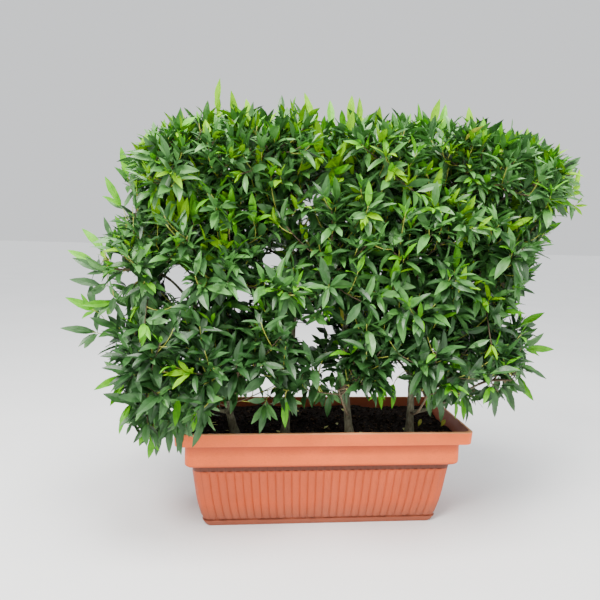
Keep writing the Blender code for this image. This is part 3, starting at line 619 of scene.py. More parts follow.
def terracotta_plastic(name, painted_shade=1.0, soiled=0.0):
    """Matt salmon plastic: dust and painted shade on ribs, painted shadow in creases, stains low, rim
    highlight painted.
    """
    surface = Surface(name, roughness=0.5, specular=0.30)
    clean, dust_and_painted_shade, dull_dirt_and_painted_shade, painted_crease_shadow, painted_highlight = [Vector(tone) * painted_shade for tone in TERRACOTTA_TONES]
    # Heights, from the ground up, and the colour at each, which paints shade and shadow by height
    bands = (
        (0, dull_dirt_and_painted_shade),
        (PLINTH_HEIGHT - SOFT_EDGE, dull_dirt_and_painted_shade),
        # painted shadow in the crease above the plinth
        (PLINTH_HEIGHT, painted_crease_shadow),
        (RIB_LOW, painted_crease_shadow),
        (RIB_LOW + 0.002, dull_dirt_and_painted_shade),
        (0.070, dust_and_painted_shade),
        (RIB_HIGH - 0.003, dust_and_painted_shade),
        # painted shadow under the collar, over the ribs' tops
        (RIB_HIGH - 0.001, painted_crease_shadow),
        (COLLAR_LOW - SOFT_EDGE, painted_crease_shadow),
        (COLLAR_LOW + 0.004, dust_and_painted_shade),
        (COLLAR_LOW + 0.010, clean),
        (RIM_LOW - 0.036, clean),
        # painted shadow under the rim, deepening towards its crease
        (RIM_LOW - 0.012, dust_and_painted_shade),
        (RIM_LOW - 0.004, dull_dirt_and_painted_shade),
        (RIM_LOW - 0.001, painted_crease_shadow),
        (RIM_LOW, clean),
        (TROUGH_HEIGHT - RIM_EDGE, clean),
        # painted highlight along the rim's top edge
        (TROUGH_HEIGHT - RIM_EDGE / 3, painted_highlight),
    )
    rise = surface.span(surface.height(), 0, TROUGH_HEIGHT)
    body = surface.ramp(rise, [(z / TROUGH_HEIGHT, colour) for z, colour in bands])
    broad = surface.ramp(surface.noise(9, 3), ((0.30, (0.84, 0.86, 0.90)), (0.70, (1, 1, 1))))
    body = surface.mix(1.0, body, broad, "MULTIPLY")
    speck = surface.ramp(surface.noise(900, 2), ((0.34, (0.55, 0.55, 0.55)), (0.44, (1, 1, 1))))
    body = surface.mix(0.6, body, speck, "MULTIPLY")
    stains = surface.span(surface.noise(28, 6, surface.stretched((1, 1, 0.35))), 0.42, 0.72)
    low = surface.span(surface.height(), 0.16, 0.0)
    stained = surface.mix(low, (0, 0, 0, 1), surface.mix(stains, (0, 0, 0, 1), (0.8, 0.8, 0.8, 1)))
    body = surface.mix(stained, body, (*dull_dirt_and_painted_shade, 1))
    surface.colour(surface.mix(soiled, body, (*SOILED_TONE, 1)))
    surface.roughness(surface.span(surface.noise(60, 5), 0.3, 0.7, 0.42, 0.60))
    surface.bump(surface.noise(420, 4), strength=0.16, distance=0.0008)
    return surface.material


def soil_crumb(name, low, high):
    surface = Surface(name, roughness=0.95, specular=0.08)
    surface.colour(surface.ramp(surface.noise(160, 6), ((0.32, low), (0.68, high))))
    surface.roughness(surface.span(surface.noise(220, 3), 0.3, 0.7, 0.80, 1.0))
    surface.bump(surface.noise(700, 5), strength=0.7, distance=0.002)
    return surface.material


def bark(name, low, high, moss):
    """Grey-brown bark, streaked along the stem."""
    surface = Surface(name, roughness=0.9, specular=0.25)
    streaks = surface.noise(1.0, 6, surface.stretched((420, 420, 70)))
    wood = surface.ramp(streaks, ((0.28, low), (0.50, high), (0.74, moss)))
    patches = surface.ramp(surface.noise(34, 3), ((0.35, (0.62, 0.60, 0.56)), (0.60, (1, 1, 1))))
    surface.colour(surface.mix(0.8, wood, patches, "MULTIPLY"))
    surface.roughness(surface.span(streaks, 0.3, 0.7, 0.95, 0.75))
    surface.bump(streaks, strength=0.6, distance=0.0012)
    return surface.material


def blade(name, low, high, roughness, specular=LEAF_GLOSS):
    """A leaf blade: mottled green with a soft gloss."""
    surface = Surface(name, roughness, specular)
    surface.colour(surface.ramp(surface.noise(46, 3), ((0.36, low), (0.64, high))))
    surface.roughness(surface.span(surface.noise(130, 3), 0.3, 0.7, roughness - 0.07, roughness + 0.09))
    surface.bump(surface.noise(300, 4), strength=0.22, distance=0.0012)
    return surface.material


def wall_half_sizes(z):
    """Half the length and half the width of the wall at a height: it tapers and swells a little."""
    share = 1 - z / COLLAR_LOW
    bulge = WALL_BULGE * math.sin(math.pi * share**WALL_BULGE_POWER)
    half_x = RIM_LENGTH / 2 - WALL_INSET - WALL_TAPER_X * share + bulge
    half_y = RIM_WIDTH / 2 - WALL_INSET - WALL_TAPER_Y * share + bulge
    return half_x, half_y


def wall_row(proud, z, ribbed=False):
    """A row of the trough's profile that stands proud of the wall."""
    half_x, half_y = wall_half_sizes(z)
    return half_x + proud, half_y + proud, z, ribbed


def inset_row(inset, z):
    """A row of the trough's profile that stands in from the rim."""
    return RIM_LENGTH / 2 - inset, RIM_WIDTH / 2 - inset, z, False


def rib_rows():
    """Heights of the rows that draw the ribs, close together at their round ends."""
    end = (2 * (RIM_LENGTH / 2 - WALL_INSET) / RIBS_LONG) * RIB_WIDTH / 2
    rises = [end * (1 - math.cos(math.pi / 2 * step / RIB_END_ROWS)) for step in range(RIB_END_ROWS + 1)]
    middle = [
        RIB_LOW + end + (RIB_HIGH - RIB_LOW - 2 * end) * step / (RIB_MIDDLE_ROWS + 1)
        for step in range(1, RIB_MIDDLE_ROWS + 1)
    ]
    return [RIB_LOW + rise for rise in rises] + middle + [RIB_HIGH - rise for rise in reversed(rises)]


def arc(centre_inset, centre_z, radius, start, end):
    """Rows along an arc of the profile. Angles are counted from outward, towards up."""
    rows = []
    for step in range(ARC_STEPS + 1):
        angle = math.radians(start + (end - start) * step / ARC_STEPS)
        rows.append(inset_row(centre_inset - radius * math.cos(angle), centre_z + radius * math.sin(angle)))
    return rows


def trough_rows():
    """The profile from the ground up the outer side, over the rim and down to the inner floor."""
    rows = [
        wall_row(-SOFT_EDGE, 0),
        wall_row(-SOFT_EDGE / 4, SOFT_EDGE / 4),
        wall_row(0, SOFT_EDGE),
        wall_row(PLINTH_PROUD - SOFT_EDGE / 4, PLINTH_HEIGHT - SOFT_EDGE),
        wall_row(PLINTH_PROUD - SOFT_EDGE / 3, PLINTH_HEIGHT - SOFT_EDGE / 3),
        wall_row(PLINTH_PROUD - SOFT_EDGE, PLINTH_HEIGHT),
        wall_row(0, PLINTH_HEIGHT + SOFT_EDGE / 2),
    ]
    rows += [wall_row(0, z, True) for z in rib_rows()]
    rows += [wall_row(0, COLLAR_LOW - SOFT_EDGE / 2), inset_row(WALL_INSET - SOFT_EDGE, COLLAR_LOW)]
    rows += arc(COLLAR_INSET + COLLAR_ROUND, COLLAR_LOW + COLLAR_ROUND, COLLAR_ROUND, -90, 0)
    rows += [
        inset_row(COLLAR_INSET, RIM_LOW - SOFT_EDGE),
        inset_row(COLLAR_INSET - SOFT_EDGE, RIM_LOW),
    ]
    rows += arc(RIM_LEAN + SOFT_EDGE, RIM_LOW + SOFT_EDGE, SOFT_EDGE, -90, 0)
    rows += arc(RIM_EDGE, TROUGH_HEIGHT - RIM_EDGE, RIM_EDGE, 0, 90)
    rows += arc(RIM_TOP_WIDTH - SOFT_EDGE, TROUGH_HEIGHT - SOFT_EDGE, -SOFT_EDGE, -90, -180)
    rows += [
        inset_row(COLLAR_INSET + WALL_THICKNESS, RIM_LOW),
        inset_row(COLLAR_INSET + WALL_THICKNESS, COLLAR_LOW + COLLAR_INSET),
        wall_row(-WALL_THICKNESS, COLLAR_LOW),
        wall_row(-WALL_THICKNESS, FLOOR_THICKNESS),
    ]
    return rows


def rib_height(phase, pitch, z):
    """How far a rib stands out: a bar with a round back and round ends."""
    radius = pitch * RIB_WIDTH / 2
    beyond = max(RIB_LOW + radius - z, z - RIB_HIGH + radius, 0)
    away = math.hypot((phase - 0.5) * pitch, beyond) / radius
    return RIB_DEPTH * math.sqrt(max(0, 1 - away**2))


def trough_loop(half_x, half_y, z, ribbed):
    """A loop round the trough at a height: four straight runs and four round corners."""
    loop = []
    runs = ((1, 0, RIBS_LONG), (0, 1, RIBS_SHORT), (-1, 0, RIBS_LONG), (0, -1, RIBS_SHORT))
    for along_x, along_y, ribs in runs:
        along = Vector((along_x, along_y, 0))
        outward = along.cross(UP)
        half_run = abs(along.x) * half_x + abs(along.y) * half_y - CORNER_RADIUS
        reach = abs(outward.x) * half_x + abs(outward.y) * half_y
        pitch = 2 * half_run / ribs
        for column in range(ribs * RIB_COLUMNS + 1):
            phase = column / RIB_COLUMNS
            stand = rib_height(phase % 1, pitch, z) if ribbed else 0
            loop.append(along * (phase * pitch - half_run) + outward * (reach + stand) + UP * z)
        centre = along * half_run + outward * (reach - CORNER_RADIUS) + UP * z
        for step in range(1, CORNER_COLUMNS):
            angle = math.pi / 2 * step / CORNER_COLUMNS
            loop.append(centre + CORNER_RADIUS * (outward * math.cos(angle) + along * math.sin(angle)))
    return loop


def rows_to_faces(rows, columns):
    """Quads between equally long closed rows of points, then a face on each end."""
    faces = []
    for row in range(rows - 1):
        low = row * columns
        for i in range(columns):
            j = (i + 1) % columns
            faces.append((low + i, low + j, low + columns + j, low + columns + i))
    faces.append(tuple(reversed(range(columns))))
    faces.append(tuple(range((rows - 1) * columns, rows * columns)))
    return faces


def outer_finish(ribbed):
    """The finish of each face of a row round the trough: a darker one, painted shade, where it lies between
    two ribs.
    """
    marks = []
    for ribs in (RIBS_LONG, RIBS_SHORT) * 2:
        for column in range(ribs * RIB_COLUMNS):
            marks.append(GROOVE if ribbed and column % RIB_COLUMNS == 0 else OUTER)
        marks += [OUTER] * CORNER_COLUMNS
    return marks


def make_trough():
    """The whole trough as one skin, from the ground over the rim to the inner floor."""
    loops = [trough_loop(*row) for row in trough_rows()]
    points = [point for loop in loops for point in loop]
    faces = rows_to_faces(len(loops), len(loops[0]))
    outer_rows = trough_rows()[:-1 - INNER_ROWS]
    marks = [mark for *_, ribbed in outer_rows for mark in outer_finish(ribbed)]
    marks += [INSIDE] * (INNER_ROWS * len(loops[0]))
    # The groove and inside finishes are darker copies, painted shade; the inside one is soiled too
    finish = [
        terracotta_plastic("terracotta_plastic"),
        terracotta_plastic("terracotta_groove_painted_shade", GROOVE_PAINTED_SHADE),
        terracotta_plastic("terracotta_inside_soiled_painted_shade", INSIDE_PAINTED_SHADE, INSIDE_SOIL),
    ]
    marks += [OUTER, INSIDE]
    trough = mesh_object("trough", points, faces, finish, marks, TROUGH_SHARP)
    dress(trough, "terracotta_plastic", "planter")


def soil_height(x, y):
    """The height of the ground: slope and waves that fade out round the stems, and grain."""
    relief = sum(height * math.sin(by_x * x + by_y * y + start) for height, by_x, by_y, start in SOIL_WAVES)
    relief += SOIL_SLOPE * (y - STEM_Y)
    near = min(math.hypot(x - foot, y - STEM_Y) for foot, _, _ in STEM_BENDS)
    fade = min(max(near / SOIL_LEVEL_RADIUS - 1, 0), 1)
    grain = noise.fractal(Vector((x, y, 0)) * SOIL_GRAIN_SCALE, *SOIL_GRAIN_FRACTAL)
    return SOIL_TOP + fade * relief + SOIL_GRAIN * grain


def soil_half_sizes(z):
    """Half the length and half the width that the trough leaves free at a height."""
    share = (TROUGH_HEIGHT - z) / RIM_HEIGHT
    inset = RIM_TOP_WIDTH + (COLLAR_INSET + WALL_THICKNESS - RIM_TOP_WIDTH) * min(share, 1) + SOIL_GAP
    return RIM_LENGTH / 2 - inset, RIM_WIDTH / 2 - inset


def rounded(x, y, half_x, half_y):
    """Draws a point of a rectangle in, so that the rectangle's corners become round."""
    share = max(abs(x) / half_x, abs(y) / half_y)
    if share == 0:
        return x, y
    edge_x, edge_y = abs(x) / share, abs(y) / share
    over_x, over_y = edge_x - half_x + CORNER_RADIUS, edge_y - half_y + CORNER_RADIUS
    if over_x <= 0 or over_y <= 0:
        return x, y
    beyond = math.hypot(over_x, over_y) - CORNER_RADIUS
    scale = min(1 - beyond / math.hypot(edge_x, edge_y) * SOIL_CORNER_PULL, 1)
    return x * scale, y * scale


def make_soil():
    """Uneven ground with a skirt down into the trough."""
    top = soil_half_sizes(SOIL_TOP)
    wide = SOIL_COLUMNS + 1
    points = []
    for row in range(SOIL_ROWS + 1):
        for column in range(wide):
            x = top[0] * (2 * column / SOIL_COLUMNS - 1)
            y = top[1] * (2 * row / SOIL_ROWS - 1)
            x, y = rounded(x, y, *top)
            points.append((x, y, soil_height(x, y)))
    faces = []
    for row in range(SOIL_ROWS):
        for column in range(SOIL_COLUMNS):
            a = row * wide + column
            faces.append((a, a + 1, a + wide + 1, a + wide))
    border = list(range(SOIL_COLUMNS)) + [row * wide + SOIL_COLUMNS for row in range(SOIL_ROWS)]
    border += [SOIL_ROWS * wide + column for column in range(SOIL_COLUMNS, 0, -1)]
    border += [row * wide for row in range(SOIL_ROWS, 0, -1)]
    skirt = len(points)
    inner = COLLAR_INSET + WALL_THICKNESS + SOIL_GAP
    narrow = (RIM_LENGTH / 2 - inner) / top[0]
    for index in border:
        x, y, _ = points[index]
        points.append((x * narrow, y * narrow, SOIL_TOP - SOIL_DEPTH))
    for i, index in enumerate(border):
        j = (i + 1) % len(border)
        faces.append((index, skirt + i, skirt + j, border[j]))
    faces.append(tuple(skirt + i for i in reversed(range(len(border)))))
    earth = soil_crumb("soil_earth", (0.004, 0.002, 0.001), (0.018, 0.010, 0.006))
    soil = mesh_object("soil_bed", points, faces, [earth])
    dress(soil, "potting_soil", "soil")


def make_chips():
    """Crumbs and chips of bark, each a small broken block lying on the soil."""
    rand = random.Random(SEED)
    points = []
    faces = []
    tones = []
    half_x, half_y = soil_half_sizes(SOIL_TOP)
    box_faces = ((0, 3, 2, 1), (4, 5, 6, 7), (0, 1, 5, 4), (1, 2, 6, 5), (2, 3, 7, 6), (3, 0, 4, 7))
    for _ in range(CHIPS):
        x = rand.uniform(-half_x, half_x) * CHIP_SPREAD[0]
        y = rand.uniform(-half_y, half_y) * CHIP_SPREAD[1]
        length = CHIP_LENGTHS[0] + (CHIP_LENGTHS[1] - CHIP_LENGTHS[0]) * rand.random() ** CHIP_LENGTH_POWER
        width = length * rand.uniform(*CHIP_WIDTHS)
        size = Vector((length, width, length * rand.uniform(*CHIP_THICKNESSES))) / 2
        turn = Matrix.Rotation(rand.uniform(0, CIRCLE), 3, "Z")
        for axis in "XY":
            turn = turn @ Matrix.Rotation(rand.gauss(0, CHIP_TILT), 3, axis)
        centre = Vector((x, y, soil_height(x, y) + size.z * CHIP_RISE))
        first = len(points)
        for z in (-1, 1):
            for corner_x, corner_y in ((-1, -1), (1, -1), (1, 1), (-1, 1)):
                rough = Vector([rand.uniform(*CHIP_CORNERS) for _ in range(3)])
                points.append(centre + turn @ (Vector((corner_x, corner_y, z)) * size * rough))
        faces += [tuple(first + i for i in face) for face in box_faces]
        tones += [rand.choice(CHIP_TONES)] * len(box_faces)
    materials = [
        soil_crumb("chip_black", (0.003, 0.002, 0.001), (0.012, 0.007, 0.004)),
        soil_crumb("chip_brown", (0.014, 0.008, 0.005), (0.045, 0.024, 0.013)),
        soil_crumb("chip_tan", (0.045, 0.028, 0.016), (0.110, 0.070, 0.040)),
    ]
    chips = mesh_object("bark_chips", points, faces, materials, tones, CHIP_SHARP)
    dress(chips, "potting_soil")


def bezier(a, b, c, d, share):
    rest = 1 - share
    return a * rest**3 + b * (3 * rest**2 * share) + c * (3 * rest * share**2) + d * share**3


def even_shares(steps):
    return [step / steps for step in range(steps + 1)]


def tapered(first, last, shares):
    """Radii that run evenly from the first to the last."""
    return [first + (last - first) * share for share in shares]


def shaken(rand, reach):
    """A random step to be added to a direction."""
    return Vector([rand.uniform(-1, 1) for _ in range(3)]) * reach


def rings(path, radii, sides, relief=0.0):
    """The points of a tube's rings. Relief makes them uneven, in streaks along the tube."""
    points = []
    side = None
    for i, (centre, radius) in enumerate(zip(path, radii)):
        tangent = (path[min(i + 1, len(path) - 1)] - path[max(i - 1, 0)]).normalized()
        side = side or tangent.orthogonal()
        side = (side - tangent * side.dot(tangent)).normalized()
        other = tangent.cross(side)
        for k in range(sides):
            around = math.cos(CIRCLE * k / sides) * side + math.sin(CIRCLE * k / sides) * other
            uneven = 0
            if relief:
                streak = (around.x * STREAKS_ACROSS, around.y * STREAKS_ACROSS, centre.z * STREAKS_ALONG)
                knot = centre * KNOTS_ALONG + around * KNOTS_AROUND
                streaks = noise.noise(Vector(streak) + centre * STREAK_DRIFT)
                uneven = relief * (streaks + KNOT_SHARE * noise.noise(knot))
            points.append(centre + around * radius * (1 + uneven))
    return points


class Limb:
    """A tapering limb that others grow from: its path and the radii along it."""

    def __init__(self, name, path, radii):
        self.name = name
        self.path = path
        self.radii = radii

    def at_height(self, z):
        """The centre, the direction and the radius where the limb passes a height."""
        for a, b, radius_a, radius_b in zip(self.path, self.path[1:], self.radii, self.radii[1:]):
            if a.z <= z <= b.z:
                share = (z - a.z) / (b.z - a.z)
                return a.lerp(b, share), (b - a).normalized(), radius_a + (radius_b - radius_a) * share
        return self.path[-1].copy(), (self.path[-1] - self.path[-2]).normalized(), self.radii[-1]

    def seat(self, height, target):
        """A place just off the limb's side towards a target, and its outward direction."""
        centre, along, radius = self.at_height(height)
        way = target - centre
        outward = (way - along * way.dot(along)).normalized()
        return centre + outward * (radius + JOINT_GAP), outward


def stem_point(number, share):
    """The centre and the radius of a stem at a share of its height."""
    foot, middle_lean, top_lean = STEM_BENDS[number - 1]
    foot_z = SOIL_TOP + JOINT_GAP
    height = STEM_TOP - foot_z
    lean = 4 * share * (1 - share) * middle_lean + share * top_lean
    sway = STEM_SWAY * share * math.sin(STEM_SWAY_TURN * share + number)
    flare = (STEM_FLARE_RADIUS - STEM_RADIUS) * math.exp(-share * height / STEM_FLARE_HEIGHT)
    radius = STEM_RADIUS + (STEM_TIP_RADIUS - STEM_RADIUS) * share + flare
    return Vector((foot + lean, STEM_Y + sway, foot_z + share * height)), radius


def make_stems(material):
    """The stems' meshes. What grows on a stem starts from a coarser path, as on the solid."""
    stems = []
    for number in range(1, len(STEM_BENDS) + 1):
        coarse = [stem_point(number, share**STEM_STEP_GROWTH) for share in even_shares(STEM_STEPS)]
        stems.append(Limb(f"stem_{number}", *zip(*coarse)))
        path, radii = zip(*[stem_point(number, share) for share in even_shares(STEM_FINE_STEPS)])
        points = rings(path, radii, STEM_SIDES, BARK_RELIEF)
        faces = rows_to_faces(len(path), STEM_SIDES)
        stem = mesh_object(f"bark_stem_{number}", points, faces, [material])
        dress(stem, "bark", f"stem_{number}")
    return stems


def make_bough(name, stem, height, centre, end, material):
    """A limb from a stem's side to where it enters its cell. Its foot is sunk in the stem and widens."""
    start, outward = stem.seat(height, centre)
    foot = stem.at_height(height)[0]
    way = (centre - foot).normalized()
    reach = (end - start).length
    lead = start + (outward + UP * BOUGH_UPTURN) * reach * BOUGH_LEAD
    bend = end - (way + UP * BOUGH_UPTURN).normalized() * reach * BOUGH_BEND
    shares = even_shares(BOUGH_FINE_STEPS)
    path = [foot] + [bezier(start, lead, bend, end, share) for share in shares]
    flares = [1 + BOUGH_FLARE * math.exp(-share * BOUGH_FLARE_FALL) for share in shares]
    radii = [radius * flare for radius, flare in zip(tapered(BOUGH_RADIUS, BOUGH_TIP_RADIUS, shares), flares)]
    radii.insert(0, BOUGH_RADIUS)
    points = rings(path, radii, BOUGH_SIDES, BARK_RELIEF)
    bough = mesh_object(f"bark_{name}", points, rows_to_faces(len(path), BOUGH_SIDES), [material])
    dress(bough, "bark", name)
    return Limb(name, path, radii)


def outline_sides():
    """The starts and the ends of the outline's sides."""
    corners = np.array(OUTLINE)
    return corners, np.roll(corners, -1, axis=0)


def inside_outline(x, z):
    (x0, z0), (x1, z1) = (side.T for side in outline_sides())
    crosses = (z0 > z[:, None]) != (z1 > z[:, None])
    with np.errstate(divide="ignore"):
        left = x[:, None] < x0 + (z[:, None] - z0) * (x1 - x0) / (z1 - z0)
    return (crosses & left).sum(axis=1) % 2 == 1


def outline_distance(x, z):
    (x0, z0), (x1, z1) = (side.T for side in outline_sides())
    dx, dz = x1 - x0, z1 - z0
    x, z = x[:, None], z[:, None]
    share = np.clip(((x - x0) * dx + (z - z0) * dz) / (dx * dx + dz * dz), 0, 1)
    return np.hypot(x - x0 - share * dx, z - z0 - share * dz).min(axis=1)


def seen_place(points):
    """The x and the z where EYE sees the points, on the plane of the stems."""
    seen = EYE + (points - EYE) * ((STEM_Y - EYE[1]) / (points[:, 1] - EYE[1]))[:, None]
    return seen[:, 0], seen[:, 2]


def in_crown(points, inset=0.0):
    """Which points lie in the crown, some way inside its outline, in no gap and clear of the trough."""
    x, y, z = points.T
    seen = seen_place(points)
    inside = inside_outline(x, z) & inside_outline(*seen) & (outline_distance(*seen) > inset)
    roundness = 1 - np.minimum(outline_distance(x, z) / CROWN_ROUND, 1)
    half_depth = CROWN_HALF_DEPTH * np.sqrt(1 - roundness**2) + CROWN_EDGE_HALF_DEPTH
    waves = [np.sin(by_x * x + by_z * z + np.sign(y - STEM_Y) + start) for by_x, by_z, start in LUMP_WAVES]
    hollow = LUMP_DEPTH * np.clip(sum(waves) / len(waves), 0, 1)
    inside &= np.abs(y - STEM_Y) < half_depth * (1 - hollow)
    return inside & out_of_gaps(points) & clear_of_trough(points)


def out_of_gaps(points):
    """Which points hide no gap from EYE."""
    x, z = seen_place(points)
    out = np.ones(len(points), bool)
    for gap_x, gap_z, half_width, half_height in GAPS:
        across = (x - gap_x) / half_width
        up = (z - gap_z) / half_height
        uneven = 1 + GAP_WAVE * np.sin(GAP_LOBES * np.arctan2(up, across) + gap_x / GAP_WAVE_TURN)
        out &= np.hypot(across, up) > uneven
    return out


def clear_of_trough(points):
    x, y, z = points.T
    near_x = np.abs(x) < RIM_LENGTH / 2 + TROUGH_CLEARANCE
    near_y = np.abs(y) < RIM_WIDTH / 2 + TROUGH_CLEARANCE
    return ~(near_x & near_y & (z < TROUGH_HEIGHT + TROUGH_CLEARANCE))


def in_reach(points):
    """Which points lie in the solids' box, or only a little beyond it."""
    low = np.array(cad_box[0] - REACH_BEYOND[0])
    high = np.array(cad_box[1] + REACH_BEYOND[1])
    return ((points > low) & (points < high)).all(axis=1)


def outward(point):
    """The way out of the crown from a point, as if the crown were an ellipsoid."""
    away = point - CROWN_MIDDLE
    return Vector([away[i] / CROWN_REACH[i] ** 2 for i in range(3)]).normalized()


def cell_centres():
    """The name and the centre of each mass's cell: its row, its layer and its place from the left."""
    cells = []
    for layer, side, columns, rows in LAYERS:
        for row, height, left, right in rows:
            for column in range(columns):
                x = left + (column + 0.5) / columns * (right - left)
                centre = Vector((x, STEM_Y + side * LAYER_OFFSET, height))
                cells.append((f"{row}_{layer}_{column + 1}", centre))
    return cells


def in_cell(points, centre, centres, overlap=-CELL_MARGIN):
    """Which points are nearer to this centre than to any other. An overlap lets them lie farther out."""
    others = np.array([other for other in centres if other != centre])
    apart = others - np.array(centre)
    ways = apart / np.linalg.norm(apart, axis=1, keepdims=True)
    limits = ((others + np.array(centre)) / 2 * ways).sum(axis=1) + overlap
    return (points @ ways.T < limits).all(axis=1)


def limb_segments(limbs):
    """The starts, the ends and the radii of every limb's straight stretches, as arrays."""
    starts = [point for limb in limbs for point in limb.path[:-1]]
    ends = [point for limb in limbs for point in limb.path[1:]]
    radii = [radius for limb in limbs for radius in limb.radii[:-1]]
    return np.array(starts), np.array(ends), np.array(radii)


def clear_of(points, segments, clearance):
    """Which points keep a clearance to the limbs."""
    starts, ends, radii = segments
    along = ends - starts
    share = ((points[:, None] - starts) * along).sum(axis=2) / (along * along).sum(axis=1)
    nearest = starts + np.clip(share, 0, 1)[..., None] * along
    return (np.linalg.norm(points[:, None] - nearest, axis=2) > radii + clearance).all(axis=1)


def turned(axis, turn, lean):
    """A direction that leans away from axis, turned round it."""
    side = axis.orthogonal().normalized()
    around = math.cos(turn) * side + math.sin(turn) * axis.cross(side)
    return (axis * math.cos(lean) + around * math.sin(lean)).normalized()


class Twig:
    """A curved twig: its path, its radii, and the twig that it grows from with its place there."""

    def __init__(self, path, radii, sides, parent=None, origin=0.0):
        self.path = path
        self.radii = radii
        self.sides = sides
        self.parent = parent
        self.origin = origin
        self.young = parent is not None and parent.parent is not None
        self.lengths = [(b - a).length for a, b in zip(path, path[1:])]
        self.length = sum(self.lengths)

    def at(self, place):
        """The point and the direction at a distance along the twig."""
        for a, b, length in zip(self.path, self.path[1:], self.lengths):
            if place <= length:
                break
            place -= length
        return a.lerp(b, min(place / length, 1)), (b - a).normalized()

    def cut(self, place):
        """Shortens the twig to a distance along it."""
        end = self.at(place)[0]
        while len(self.lengths) > 1 and sum(self.lengths[:-1]) >= place:
            self.path.pop()
            self.radii.pop()
            self.lengths.pop()
        self.path[-1] = end


class Mass:
    """One mass of foliage: it grows a stem, twigs and side shoots inside and just round its cell."""

    def __init__(self, name, centre, centres, segments, seed):
        self.name = name
        self.row, self.layer, _ = name.split("_")
        self.centre = centre
        self.centres = centres
        self.segments = segments
        self.random = random.Random(seed)
        self.twigs = []
        self.tips = []

    def holds(self, points):
        return in_crown(points) & in_cell(points, self.centre, self.centres, CELL_OVERLAP)

    def way_out(self, point, direction):
        """How far a line runs from a point before it leaves the mass's space."""
        distances = np.arange(WAY_STEP / 2, LONGEST_WAY, WAY_STEP)
        outside = ~self.holds(np.array(point) + distances[:, None] * np.array(direction))
        return distances[np.argmax(outside)] if outside.any() else LONGEST_WAY

    def grow_spine(self, start, heading):
        """The mass's own stem, through the cell's middle towards its far side."""
        way = self.centre - start
        aim = way.normalized()
        end = self.centre + aim * self.way_out(self.centre, aim) * SPINE_REACH
        lead = start + heading * way.length * SPINE_LEAD
        shares = even_shares(SPINE_STEPS)
        path = [bezier(start, lead, self.centre, end, share) for share in shares]
        path.insert(0, start - heading * SPINE_SINK)
        self.spine = Twig(path, tapered(SPINE_RADIUS, SPINE_TIP_RADIUS, [0, *shares]), SPINE_SIDES)
        self.twigs.append(self.spine)
        self.tips.append(end)

    def bent(self, root, direction, length, steps, rise):
        """A path that starts along a direction, turns to the light and wavers, as far as it has room."""
        path = [root]
        ahead = []
        for _ in range(steps):
            light = (UP + outward(path[-1]) * LIGHT_SIDEWAYS).normalized()
            waver = shaken(self.random, SHOOT_WOBBLE)
            direction = (direction + light * rise / steps + waver).normalized()
            path.append(path[-1] + direction * length / steps)
            ahead.append(path[-1] + direction * SIDE_ROOM)
        points = np.array(path[1:])
        free = in_crown(points) & in_crown(np.array(ahead))
        free &= clear_of(points, self.segments, LIMB_CLEARANCE)
        return path if free.all() else path[:int(np.argmin(free)) + 1]

    def grow_twig(self):
        """One twig off the spine, of many tries the one whose tip is farthest from other tips."""
        best = None
        for _ in range(TRIES):
            place = self.random.uniform(TWIG_LOWEST, 1) * self.spine.length
            root, axis = self.spine.at(place)
            turn = self.random.uniform(0, CIRCLE)
            lean = self.random.uniform(*TWIG_LEANS)
            direction = turned(axis, turn, lean)
            length = min(self.way_out(root, direction) - TWIG_ROOM, TWIG_LENGTHS[1])
            if length < TWIG_LENGTHS[0]:
                continue
            tip = root + direction * length
            free = min((tip - other).length for other in self.tips)
            if best is None or free > best[0]:
                best = (free, place, root, direction, length, tip)
        if best is None:
            return
        _, place, root, direction, length, tip = best
        self.tips.append(tip)
        path = self.bent(root, direction, length, TWIG_STEPS, TWIG_RISE)
        if len(path) > 2:
            self.grow_sides(self.add(path, TWIG_RADIUS, TWIG_TIP_RADIUS, TWIG_SIDES, self.spine, place))

    def add(self, path, radius, tip_radius, sides, parent, place):
        twig = Twig(path, tapered(radius, tip_radius, even_shares(len(path) - 1)), sides, parent, place)
        self.twigs.append(twig)
        return twig

    def grow_sides(self, twig):
        """Side shoots along a twig, each turned on from the last."""
        place = SIDE_FIRST
        turn = self.random.uniform(0, CIRCLE)
        while place < twig.length - SIDE_FIRST / 2:
            root, axis = twig.at(place)
            turn += GOLDEN_TURN
            lean = self.random.uniform(*SIDE_LEANS)
            direction = turned(axis, turn, lean)
            wanted = self.random.uniform(*SIDE_LENGTHS)
            length = min(self.way_out(root, direction) - SIDE_ROOM / 2, wanted)
            if length > SIDE_SHORTEST:
                path = self.bent(root, direction, length, SIDE_STEPS, SHOOT_RISE[self.row])
                if len(path) > 2:
                    self.add(path, SIDE_RADIUS, SIDE_TIP_RADIUS, SIDE_SIDES, twig, place)
            place += self.random.uniform(*SIDE_SPACINGS)

    def grow(self, start, heading):
        self.grow_spine(start, heading)
        for _ in range(TWIGS[self.row]):
            self.grow_twig()
        self.grow_sides(self.spine)

    def trim(self, reach):
        """Drops the twigs that bear nothing, and ends each at its outermost leaf or shoot."""
        kept = []
        for twig in reversed(self.twigs):
            if twig not in reach:
                continue
            twig.cut(reach[twig])
            kept.append(twig)
            if twig.parent:
                reach[twig.parent] = max(reach.get(twig.parent, 0), twig.origin)
        self.twigs = kept


